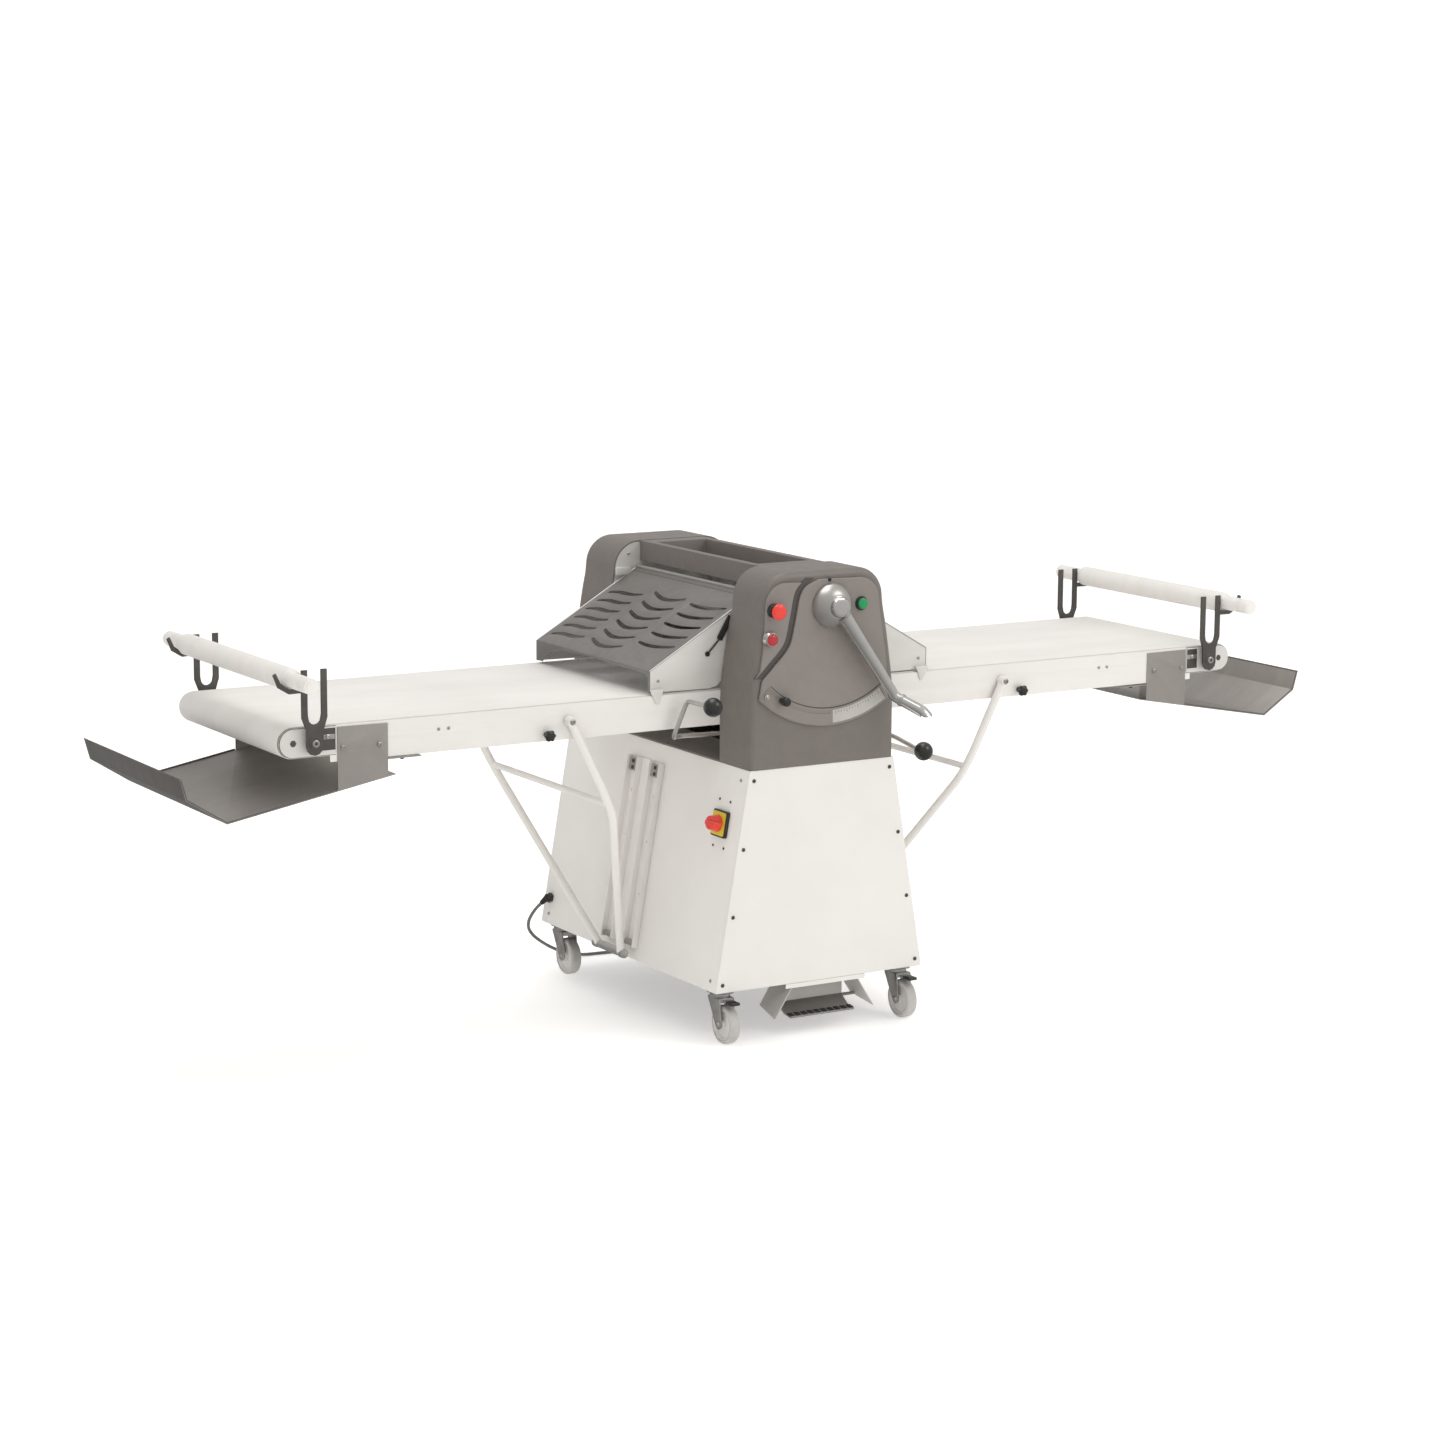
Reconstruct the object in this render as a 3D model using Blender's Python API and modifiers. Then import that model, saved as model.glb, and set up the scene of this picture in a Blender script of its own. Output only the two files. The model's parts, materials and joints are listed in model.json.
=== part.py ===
"""Floor-standing dough sheeter: a tapered cabinet on four casters, a sheeting head between
two cheeks, and two folding conveyor tables. Metres, +Z up, +X along the tables, front at -Y."""
import bpy
import bmesh
import math
from math import sin, cos, pi, radians
from mathutils import Matrix, Vector

for old in list(bpy.data.objects):
    bpy.data.objects.remove(old, do_unlink=True)

# ---------------------------------------------------------------- driving dimensions
GAP = 0.0003                  # clearance between pieces that rest on each other
Y_SHIFT = 0.0511              # moves the machine axis so that the whole object is centred

CAB_Z0, CAB_Z1 = 0.138, 0.7026     # cabinet bottom and top
PEDAL_X = 0.016                   # middle of the foot pedal and its hood
CAB_W0, CAB_W1 = 0.313, 0.2167     # its half width at the bottom and at the top
CAB_YF, CAB_YR = -0.459, 0.480     # front and rear faces
SHEET = 0.002                      # cabinet sheet
TAPER = (CAB_W0 - CAB_W1) / (CAB_Z1 - CAB_Z0)

CHEEK_IN = 0.310                   # inner faces of the cheeks
CHEEK_YF, CHEEK_YR = -0.460, 0.478
HEAD_TOP = 1.200
WALL = 0.003

BELT_TOP = 0.8913
BELT_T = 0.002
ROLLER_R = 0.0355                  # belt rollers
BELT_RI = 0.0363                   # inside of the belt's wrap
AXLE_Z = 0.853
AXLE_X = 1.397                     # outer belt roller
DRIVE_X = 0.140                    # inner belt roller and table hinge
BELT_HALF = 0.302
SKIRT_Y = 0.309
SKIRT_Z0, SKIRT_Z1 = 0.800, 0.8885
SKIRT_END = 1.300

ROLL_R = 0.036                     # lower sheeting roll
ROLL_GAP = 0.012
LOW_Z = BELT_TOP - 0.0003 - ROLL_R
UP_Z = LOW_Z + ROLL_R * 2 + ROLL_GAP

TROUGH_X, TROUGH_Z0 = 0.100, 1.145
GUARD_HINGE = (0.108, 1.131)
GUARD_LIP = (0.420, 0.951)

HUB = (0.016, 1.110)               # thickness lever axis
ARC_C = (0.012, 1.110)
ARC_RI, ARC_RO = 0.262, 0.308

STRUT_X, STRUT_Z = 0.656, 0.847    # support pivot on the table
STRUT_R = 0.0105
BEND_X, BEND_Z = 0.530, 0.596
FOOT_Z = 0.158
FOOT_YF, FOOT_YR = -0.021, 0.095

PIN_X, PIN_Z = 1.4035, 1.0088      # rolling pin axis at rest in its hooks
PIN_R, PIN_END_R = 0.0275, 0.0192
FORK_Y = 0.330

TRAY_X0, TRAY_Z0 = 1.149, 0.7526
TRAY_X1, TRAY_Z1 = 1.568, 0.6763
TRAY_X2, TRAY_Z2 = 1.670, 0.7413
TRAY_X3, TRAY_Z3 = 1.684, 0.7925
TRAY_Y = 0.3120

WHEEL_R, WHEEL_W = 0.050, 0.030
CASTER_X, CASTER_YF, CASTER_YR = 0.270, -0.408, 0.432
CASTER_TRAIL = 0.030

CORD_D = 0.009


def xs(z):
    """Half width of the cabinet's outer face at a height."""
    return CAB_W1 + (CAB_Z1 - z) * TAPER


# ---------------------------------------------------------------- collections and materials
scene = bpy.context.scene
parts_coll = bpy.data.collections.new("dough_sheeter")
cut_coll = bpy.data.collections.new("cutters")
scene.collection.children.link(parts_coll)
scene.collection.children.link(cut_coll)

origin = bpy.data.objects.new("machine_origin", None)
origin.location = (0, Y_SHIFT, 0)
parts_coll.objects.link(origin)

MATS = {}


def material(name, rgb, rough, metal=0.0):
    if name not in MATS:
        m = bpy.data.materials.new(name)
        m.use_nodes = True
        b = m.node_tree.nodes["Principled BSDF"]
        b.inputs["Base Color"].default_value = (*rgb, 1)
        b.inputs["Roughness"].default_value = rough
        b.inputs["Metallic"].default_value = metal
        m.diffuse_color = (*rgb, 1)
        MATS[name] = m
    return MATS[name]


WHITE = material("white_powder_coat", (0.80, 0.78, 0.75), 0.45)
GREY = material("grey_powder_coat", (0.20, 0.18, 0.165), 0.5)
TRAYGREY = material("tray_grey", (0.22, 0.205, 0.19), 0.45)
STEEL = material("brushed_steel", (0.62, 0.60, 0.58), 0.35, 1.0)
CAST = material("cast_aluminium", (0.55, 0.54, 0.52), 0.38, 1.0)
CHROME = material("chrome", (0.75, 0.75, 0.75), 0.12, 1.0)
BELT = material("belt_cloth", (0.82, 0.80, 0.77), 0.7)
PIN = material("white_nylon", (0.84, 0.82, 0.79), 0.5)
BLACK = material("black_plastic", (0.02, 0.02, 0.02), 0.35)
DARK = material("dark_steel", (0.09, 0.085, 0.08), 0.45, 0.6)
REDP = material("red_plastic", (0.75, 0.05, 0.03), 0.35)
GREENP = material("green_plastic", (0.0, 0.30, 0.08), 0.35)
YELLOW = material("yellow_plastic", (0.75, 0.60, 0.03), 0.45)
RUBBER = material("grey_rubber", (0.42, 0.41, 0.40), 0.7)
CABLE = material("cable_sheath", (0.12, 0.12, 0.12), 0.6)


def link(obj, cutter=False):
    (cut_coll if cutter else parts_coll).objects.link(obj)
    if cutter:
        obj.hide_render = True
        obj.display_type = "WIRE"
    obj.parent = origin
    return obj


def set_origin(obj, point):
    """Puts the object's origin on its joint axis without moving its shape."""
    p = Vector(point)
    obj.data.transform(Matrix.Translation(-p) @ obj.matrix_basis)
    obj.matrix_basis = Matrix.Translation(p)
    return obj


def finish(obj, mat, smooth=35):
    obj.data.materials.clear()
    obj.data.materials.append(mat)
    obj.data.shade_smooth()
    obj.data.set_sharp_from_angle(angle=radians(smooth))
    return obj


# ---------------------------------------------------------------- shape makers
def face_out(bm):
    """Turns every face of a closed shape outwards."""
    bm.normal_update()
    bmesh.ops.recalc_face_normals(bm, faces=bm.faces)
    if bm.calc_volume(signed=True) < 0:
        bmesh.ops.reverse_faces(bm, faces=bm.faces)


def tidy(obj, weld=0.0):
    bm = bmesh.new()
    bm.from_mesh(obj.data)
    if weld:
        bmesh.ops.remove_doubles(bm, verts=bm.verts, dist=weld)
    face_out(bm)
    bm.to_mesh(obj.data)
    bm.free()
    return obj


def from_bm(bm, name, cutter=False):
    face_out(bm)
    me = bpy.data.meshes.new(name)
    bm.to_mesh(me)
    bm.free()
    return link(bpy.data.objects.new(name, me), cutter)


def box(name, lo, hi, cutter=False):
    bm = bmesh.new()
    bmesh.ops.create_cube(bm, size=1)
    size = [b - a for a, b in zip(lo, hi)]
    mid = [(a + b) / 2 for a, b in zip(lo, hi)]
    bmesh.ops.scale(bm, vec=size, verts=bm.verts)
    bmesh.ops.translate(bm, vec=mid, verts=bm.verts)
    return from_bm(bm, name, cutter)


def cylinder(name, p0, p1, r, segs=20, r2=None, cutter=False, spin=0.0):
    p0, p1 = Vector(p0), Vector(p1)
    bm = bmesh.new()
    bmesh.ops.create_cone(bm, cap_ends=True, segments=segs, radius1=r,
                          radius2=r if r2 is None else r2, depth=(p1 - p0).length)
    rot = (p1 - p0).to_track_quat("Z", "Y").to_matrix().to_4x4()
    bm.transform(Matrix.Translation((p0 + p1) / 2) @ rot @ Matrix.Rotation(spin, 4, "Z"))
    return from_bm(bm, name, cutter)


def ball(name, centre, r, u=14, v=9):
    bm = bmesh.new()
    bmesh.ops.create_uvsphere(bm, u_segments=u, v_segments=v, radius=r)
    bmesh.ops.translate(bm, vec=centre, verts=bm.verts)
    return from_bm(bm, name)


def to_mesh(obj, cutter=False):
    """A curve made a closed mesh, in place."""
    bpy.context.view_layer.update()
    ev = obj.evaluated_get(bpy.context.evaluated_depsgraph_get())
    me = bpy.data.meshes.new_from_object(ev)
    name = obj.name
    basis = obj.matrix_basis.copy()
    bpy.data.objects.remove(obj, do_unlink=True)
    bm = bmesh.new()
    bm.from_mesh(me)
    bmesh.ops.remove_doubles(bm, verts=bm.verts, dist=1e-5)
    face_out(bm)
    bm.to_mesh(me)
    bm.free()
    me.name = name
    new = bpy.data.objects.new(name, me)
    new.matrix_basis = basis
    return link(new, cutter)


AXES = {  # outline plane -> matrix that lays a 2D curve's X, Y and extrusion along world axes
    "XZ": Matrix(((1, 0, 0, 0), (0, 0, -1, 0), (0, 1, 0, 0), (0, 0, 0, 1))),
    "YZ": Matrix(((0, 0, 1, 0), (1, 0, 0, 0), (0, 1, 0, 0), (0, 0, 0, 1))),
    "XY": Matrix.Identity(4),
}


def plate(name, loops, plane, lo, hi, cutter=False):
    """A flat outline, with holes as further loops, extruded from lo to hi across its plane."""
    cu = bpy.data.curves.new(name, "CURVE")
    cu.dimensions = "2D"
    cu.fill_mode = "BOTH"
    cu.extrude = (hi - lo) / 2
    for loop in loops:
        sp = cu.splines.new("POLY")
        sp.points.add(len(loop) - 1)
        for p, (a, b) in zip(sp.points, loop):
            p.co = (a, b, 0, 1)
        sp.use_cyclic_u = True
    obj = bpy.data.objects.new(name, cu)
    mid = (lo + hi) / 2
    off = {"XZ": (0, mid, 0), "YZ": (mid, 0, 0), "XY": (0, 0, mid)}[plane]
    obj.matrix_basis = Matrix.Translation(off) @ AXES[plane]
    link(obj, cutter)
    mesh_obj = to_mesh(obj, cutter)
    mesh_obj.data.transform(mesh_obj.matrix_basis)
    mesh_obj.matrix_basis = Matrix.Identity(4)
    return tidy(mesh_obj)


def folded(name, profile, plane, lo, hi, thick, offset=1.0):
    """A folded sheet: an open profile swept across its plane, made solid by Solidify."""
    me = bpy.data.meshes.new(name)
    bm = bmesh.new()
    rows = []
    for c in (lo, hi):
        row = []
        for a, b in profile:
            co = {"XZ": (a, c, b), "YZ": (c, a, b), "XY": (a, b, c)}[plane]
            row.append(bm.verts.new(co))
        rows.append(row)
    for i in range(len(profile) - 1):
        bm.faces.new((rows[0][i], rows[0][i + 1], rows[1][i + 1], rows[1][i]))
    bm.to_mesh(me)
    bm.free()
    obj = link(bpy.data.objects.new(name, me))
    s = obj.modifiers.new("sheet", "SOLIDIFY")
    s.thickness = thick
    s.offset = offset
    s.use_even_offset = True
    return bake(obj)


def bake(obj):
    """Applies an object's modifiers, so that it can be joined or cut again."""
    bpy.context.view_layer.update()
    ev = obj.evaluated_get(bpy.context.evaluated_depsgraph_get())
    me = bpy.data.meshes.new_from_object(ev)
    obj.modifiers.clear()
    obj.data = me
    return obj


def tube(name, points, r, res=2, cyclic=False):
    cu = bpy.data.curves.new(name, "CURVE")
    cu.dimensions = "3D"
    cu.bevel_depth = r
    cu.bevel_resolution = res
    cu.use_fill_caps = True
    sp = cu.splines.new("POLY")
    sp.points.add(len(points) - 1)
    for p, co in zip(sp.points, points):
        p.co = (*co, 1)
    sp.use_cyclic_u = cyclic
    return link(bpy.data.objects.new(name, cu))


def rounded_path(points, radius, steps=3):
    """A bent rod's centre line: straight runs with its corners turned on arcs."""
    pts = [Vector(p) for p in points]
    out = [pts[0]]
    for a, b, c in zip(pts, pts[1:], pts[2:]):
        u, v = (a - b).normalized(), (c - b).normalized()
        ang = u.angle(v)
        cut = min(radius / math.tan(ang / 2), (a - b).length * 0.45, (c - b).length * 0.45)
        p, q = b + u * cut, b + v * cut
        for i in range(steps + 1):
            t = i / steps
            out.append(p * (1 - t) ** 2 + b * 2 * t * (1 - t) + q * t * t)
    out.append(pts[-1])
    return [tuple(p) for p in out]


def boolean(obj, others, operation):
    for n, other in enumerate(others):
        m = obj.modifiers.new(f"{operation.lower()}_{n}", "BOOLEAN")
        m.operation = operation
        m.solver = "EXACT"
        m.object = other
    bake(obj)
    for other in others:
        bpy.data.objects.remove(other, do_unlink=True)
    return obj


def join(obj, *others):
    return boolean(obj, others, "UNION")


def cut(obj, *others):
    return boolean(obj, others, "DIFFERENCE")


def turned(name, profile, axis_point, axis="Z", steps=20):
    """A turned piece: a closed profile of (radius, height) points swept round its axis."""
    me = bpy.data.meshes.new(name)
    bm = bmesh.new()
    vs = [bm.verts.new((r, 0, h)) for r, h in profile]
    for a, b in zip(vs, vs[1:]):
        bm.edges.new((a, b))
    bm.to_mesh(me)
    bm.free()
    obj = link(bpy.data.objects.new(name, me))
    s = obj.modifiers.new("turn", "SCREW")
    s.steps = s.render_steps = steps
    s.angle = 2 * pi
    s.axis = "Z"
    s.use_merge_vertices = True
    s.merge_threshold = 0.00005
    bake(obj)
    rot = {"Z": Matrix.Identity(4), "X": Matrix.Rotation(pi / 2, 4, "Y"),
           "Y": Matrix.Rotation(-pi / 2, 4, "X")}[axis]
    obj.data.transform(Matrix.Translation(axis_point) @ rot)
    return tidy(obj, 1e-6)


def bevel(obj, width, segs=1, angle=40):
    b = obj.modifiers.new("soft_edge", "BEVEL")
    b.width = width
    b.segments = segs
    b.limit_method = "ANGLE"
    b.angle_limit = radians(angle)
    return bake(obj)


def arc(cx, cz, r, a0, a1, n):
    return [(cx + r * cos(radians(a0 + (a1 - a0) * i / n)),
             cz + r * sin(radians(a0 + (a1 - a0) * i / n))) for i in range(n + 1)]


def mirrored(points, side):
    return [(side * a, b) for a, b in points]


# ================================================================ cabinet
def cabinet():
    zb, zt = CAB_Z0, CAB_Z1
    me = bpy.data.meshes.new("cabinet_shell")
    bm = bmesh.new()
    yf = CAB_YF + SHEET + GAP
    def q(x, y, z):
        return bm.verts.new((x, y, z))
    lf0, lf1 = q(-CAB_W0, yf, zb), q(-CAB_W1, yf, zt)
    lr0, lr1 = q(-CAB_W0, CAB_YR, zb), q(-CAB_W1, CAB_YR, zt)
    rr0, rr1 = q(CAB_W0, CAB_YR, zb), q(CAB_W1, CAB_YR, zt)
    rf0, rf1 = q(CAB_W0, yf, zb), q(CAB_W1, yf, zt)
    bm.faces.new((lf0, lf1, lr1, lr0))
    bm.faces.new((lr0, lr1, rr1, rr0))
    bm.faces.new((rr0, rr1, rf1, rf0))
    bmesh.ops.recalc_face_normals(bm, faces=bm.faces)
    bm.to_mesh(me)
    bm.free()
    shell = link(bpy.data.objects.new("cabinet_shell", me))
    # the faces must look outwards, so that the sheet grows to the inside
    if me.polygons[0].normal.x > 0:
        me.flip_normals()
    s = shell.modifiers.new("sheet", "SOLIDIFY")
    s.thickness = SHEET
    s.offset = -1
    s.use_even_offset = True
    bake(shell)
    finish(shell, WHITE)

    front = plate("front_panel", [[(-CAB_W0, zb), (CAB_W0, zb), (CAB_W1, zt), (-CAB_W1, zt)]],
                  "XZ", CAB_YF, CAB_YF + SHEET)
    screws = []
    for z in (0.158, 0.331, 0.503, 0.677):
        for side in (-1, 1):
            x = side * (xs(z) - 0.0165)
            screws.append(cylinder("s", (x, CAB_YF + 0.001, z), (x, CAB_YF - 0.0025, z), 0.005, 8))
    join(front, *screws)
    finish(front, WHITE)

    # base: a tray with upturned rims, which carries the casters and the motor
    w = xs(zb + 0.03) - SHEET - GAP - 0.0012
    wb = w - 0.0
    base = box("base_frame", (-wb, CAB_YF + SHEET + GAP, zb), (wb, CAB_YR - SHEET - GAP, zb + 0.026))
    pocket = box("pocket", (-wb + 0.035, CAB_YF + 0.045, zb + 0.004), (wb - 0.035, CAB_YR - 0.045, zb + 0.05), True)
    cut(base, pocket)
    finish(base, DARK)

    # top deck: the dark plate between the cheeks, over the cabinet
    deck = box("top_deck", (-CAB_W1, -CHEEK_IN + GAP, zt + GAP), (CAB_W1, CHEEK_IN - GAP, zt + GAP + 0.004))
    gap_cut = box("slot", (-0.06, -0.2, zt - 0.01), (0.06, 0.2, zt + 0.02), True)
    cut(deck, gap_cut)
    finish(deck, GREY)


def guide_rails(side, name):
    """Two upright channels on a backing strip, tilted with the side panel."""
    z0, z1 = 0.170, 0.655
    ang = math.atan(TAPER)
    length = (z1 - z0) / cos(ang)
    y_a, y_b = FOOT_YF, FOOT_YR
    prof = []
    half, deep, t = 0.026, 0.018, 0.0025
    # outline across the rails (Y, depth): strip with four flanges
    outline = [(y_a - half, 0), (y_b + half, 0), (y_b + half, deep), (y_b + half - t, deep),
               (y_b + half - t, t), (y_b - half + t, t), (y_b - half + t, deep), (y_b - half, deep),
               (y_b - half, t), (y_a + half, t), (y_a + half, deep), (y_a + half - t, deep),
               (y_a + half - t, t), (y_a - half + t, t), (y_a - half + t, deep), (y_a - half, deep)]
    obj = plate(name, [outline], "XY", 0, length)
    screws = []
    for y in (y_a, y_b):
        screws.append(cylinder("s", (y, t / 2, length - 0.022), (y, t + 0.004, length - 0.022), 0.006, 8))
    join(obj, *screws)
    # local x -> world Y, local y -> outward, local z -> up the panel
    out = Vector((side * cos(ang), 0, sin(ang)))
    up = Vector((-side * sin(ang), 0, cos(ang)))
    m = Matrix((( 0, out.x, up.x), (1, out.y, up.y), (0, out.z, up.z))).to_4x4()
    base = Vector((side * xs(z0), 0, z0)) + out * GAP
    obj.data.transform(Matrix.Translation(base) @ m)
    finish(tidy(obj), WHITE)


# ================================================================ head
CHEEK_OUT = ([(CAB_W1, CAB_Z1 + GAP), (CAB_W1, 0.862), (0.2125, 0.92), (0.1945, 1.04), (0.1830, 1.10)]
             + arc(0.104, HEAD_TOP - 0.076, 0.076, 8, 90, 6))


def cheek_outline(inset=0.0, bottom=None):
    right = [(x - inset if x > 0 else x, z) for x, z in CHEEK_OUT]
    right = [(x, min(z, HEAD_TOP - inset)) for x, z in right]
    if bottom is not None:
        right[0] = (right[0][0], bottom)
    return right + [(-x, z) for x, z in reversed(right)]


def cheek(name, y_out, y_in):
    """A deep cover with a closed outer face, open to the inside and below."""
    lo, hi = min(y_out, y_in), max(y_out, y_in)
    body = plate(name, [cheek_outline()], "XZ", lo, hi)
    # large soft edge round the outer face only
    bm = bmesh.new()
    bm.from_mesh(body.data)
    edges = [e for e in bm.edges if all(abs(v.co.y - y_out) < 1e-5 for v in e.verts)
             and len(e.link_faces) == 2 and abs(e.link_faces[0].normal.dot(e.link_faces[1].normal)) < 0.7
             and not all(abs(v.co.z - CAB_Z1 - GAP) < 1e-4 for v in e.verts)]
    bmesh.ops.bevel(bm, geom=edges, offset=0.018, segments=3, profile=0.5, affect="EDGES")
    bm.to_mesh(body.data)
    bm.free()
    s = 1 if y_in > y_out else -1
    inner_lo, inner_hi = sorted((y_out + s * WALL, y_in + s * 0.02))
    hollow = plate("hollow", [cheek_outline(WALL + 0.012, CAB_Z1 - 0.02)], "XZ", *sorted((y_out + s * 0.012, y_in + s * 0.02)), True)
    cut(body, hollow)
    return body


def head():
    front = cheek("front_cheek", CHEEK_YF, -CHEEK_IN)
    rear = cheek("rear_cheek", CHEEK_YR, CHEEK_IN)
    finish(front, GREY)
    finish(rear, GREY)

    # the raised control face, in two fields parted by an S-shaped groove, with the lever's scale
    y0, y1 = CHEEK_YF - GAP, CHEEK_YF - 0.008
    S = [(-0.045, 1.183), (-0.083, 1.150), (-0.100, 1.080), (-0.117, 1.018), (-0.161, 0.970), (-0.196, 0.936)]
    outer = ([(0.190, 0.905), (0.184, 0.96), (0.175, 1.02), (0.164, 1.085)] + arc(0.100, 1.117, 0.060, 0, 90, 5))
    lower = arc(ARC_C[0], ARC_C[1], ARC_RO, -132.5, -52, 12)
    right_field = ([(x, z) for x, z in lower] + outer + [(-0.022, 1.181)]
                   + [(x + 0.009, z - 0.003) for x, z in S[1:]])
    fascia = plate("control_fascia", [right_field], "XZ", y1, y0)
    left_field = ([(x - 0.009, z + 0.004) for x, z in S[1:]][::-1] + [(-0.072, 1.176)]
                  + arc(-0.116, 1.119, 0.058, 90, 180, 4) + [(-0.182, 1.02), (-0.193, 0.955)])
    lf = plate("left_field", [left_field], "XZ", y1, y0)
    web = plate("web", [[(x - 0.014, z) for x, z in S] + [(x + 0.014, z) for x, z in S][::-1]],
                "XZ", y0 - 0.002, y0)
    join(fascia, lf, web)
    # groove that the stop knob runs in, on the left half of the scale
    r0, r1 = 0.2680, 0.2775
    groove = arc(ARC_C[0], ARC_C[1], r1, -133, -91, 8) + arc(ARC_C[0], ARC_C[1], r0, -133, -91, 8)[::-1]
    cut(fascia, plate("groove", [groove], "XZ", y1 - 0.01, y0 + 0.01, True))
    # holes for the buttons and the lever's shaft
    cut(fascia,
        cylinder("h1", (HUB[0], y1 - 0.02, HUB[1]), (HUB[0], y0 + 0.02, HUB[1]), 0.0165, 16, cutter=True),
        cylinder("h2", (-0.157, y1 - 0.02, 1.108), (-0.157, y0 + 0.02, 1.108), 0.0125, 14, cutter=True),
        cylinder("h3", (0.105, y1 - 0.02, 1.110), (0.105, y0 + 0.02, 1.110), 0.0125, 14, cutter=True),
        cylinder("h4", (-0.168, y1 - 0.02, 1.037), (-0.168, y0 + 0.02, 1.037), 0.0125, 14, cutter=True))
    finish(fascia, GREY)
    for cx, cz, r in ((HUB[0], HUB[1], 0.0165), (-0.157, 1.108, 0.0125), (0.105, 1.110, 0.0125)):
        cut(front, cylinder("fh", (cx, CHEEK_YF - 0.02, cz), (cx, CHEEK_YF + 0.04, cz), r, 16, cutter=True))
    cut(front, plate("groove2", [groove], "XZ", CHEEK_YF - 0.02, CHEEK_YF + 0.03, True))
    finish(front, GREY)

    # flour trough: an open tray across the top
    trough = box("flour_trough", (-TROUGH_X, -CHEEK_IN + GAP, TROUGH_Z0), (TROUGH_X, CHEEK_IN - GAP, HEAD_TOP - 0.001))
    cut(trough, box("well", (-0.078, -0.262, TROUGH_Z0 + 0.003), (0.078, 0.262, HEAD_TOP + 0.02), True))
    finish(trough, GREY)

    # lower sheeting roll with journals into the cheeks
    lower = turned("lower_roll", [(0, 0.412), (0.0125, 0.412), (0.0125, 0.401), (0.0400, 0.401), (0.0400, 0.393), (0.0125, 0.393), (0.0125, 0.3085), (ROLL_R, 0.3085), (ROLL_R, -0.3085),
                                  (0.0125, -0.3085), (0.0125, -0.345), (0, -0.345)], (0, 0, LOW_Z), "Y", 20)
    finish(lower, CHROME)
    # the rear journal carries the drive sprocket
    upper = turned("upper_roll", [(0, 0.3085), (0.0125, 0.3085), (0.0125, 0.292), (ROLL_R, 0.292), (ROLL_R, -0.292),
                                  (0.0125, -0.292), (0.0125, -0.3085), (0, -0.3085)], (0, 0, UP_Z), "Y", 20)
    finish(upper, CHROME)

    # carriage: a cross beam with two bearing arms that hang down over the upper roll's journals
    beam = box("roll_carriage", (-0.045, -0.3085, UP_Z + 0.060), (0.045, 0.3085, UP_Z + 0.078))
    arms = []
    for s in (-1, 1):
        ya, yb = sorted((s * 0.3085, s * 0.2925))
        arms.append(box("arm", (-0.028, ya, UP_Z - 0.020), (0.028, yb, UP_Z + 0.065)))
    join(beam, *arms)
    cut(beam, cylinder("bore", (0, -0.33, UP_Z), (0, 0.33, UP_Z), 0.0128, 20, cutter=True))
    finish(beam, STEEL)

    # scraper that rides on the upper roll
    sc = plate("roll_scraper", [[(0.0405, UP_Z + 0.012), (0.052, UP_Z + 0.040), (0.052, UP_Z + 0.0595),
                                 (0.030, UP_Z + 0.0595), (0.030, UP_Z + 0.0570), (0.0495, UP_Z + 0.0570), (0.0495, UP_Z + 0.041), (0.0385, UP_Z + 0.013)]],
               "XZ", -0.285, 0.285)
    finish(sc, STEEL)

    # motor and gearbox on the cabinet's base
    motor = box("gear_motor", (-0.070, 0.130, CAB_Z0 + 0.0045), (0.070, 0.290, 0.330))
    join(motor,
         cylinder("can", (0, 0.135, 0.235), (0, -0.130, 0.235), 0.075, 20),
         cylinder("fan", (0, -0.125, 0.235), (0, -0.165, 0.235), 0.080, 20),
         cylinder("shaft", (0, 0.285, 0.280), (0, 0.415, 0.280), 0.012, 12),
         cylinder("sprocket", (0, 0.393, 0.280), (0, 0.401, 0.280), 0.040, 20))
    finish(motor, DARK)

    # chain from the gearbox to the lower roll, inside the rear cheek
    zb, zt, r = 0.280, LOW_Z, 0.0443
    out = arc(0, zt, r + 0.006, 0, 180, 10) + arc(0, zb, r + 0.006, 180, 360, 10)
    inn = arc(0, zt, r, 0, 180, 10) + arc(0, zb, r, 180, 360, 10)
    chain = plate("drive_chain", [out, inn], "XZ", 0.392, 0.402)
    finish(chain, DARK)


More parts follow.
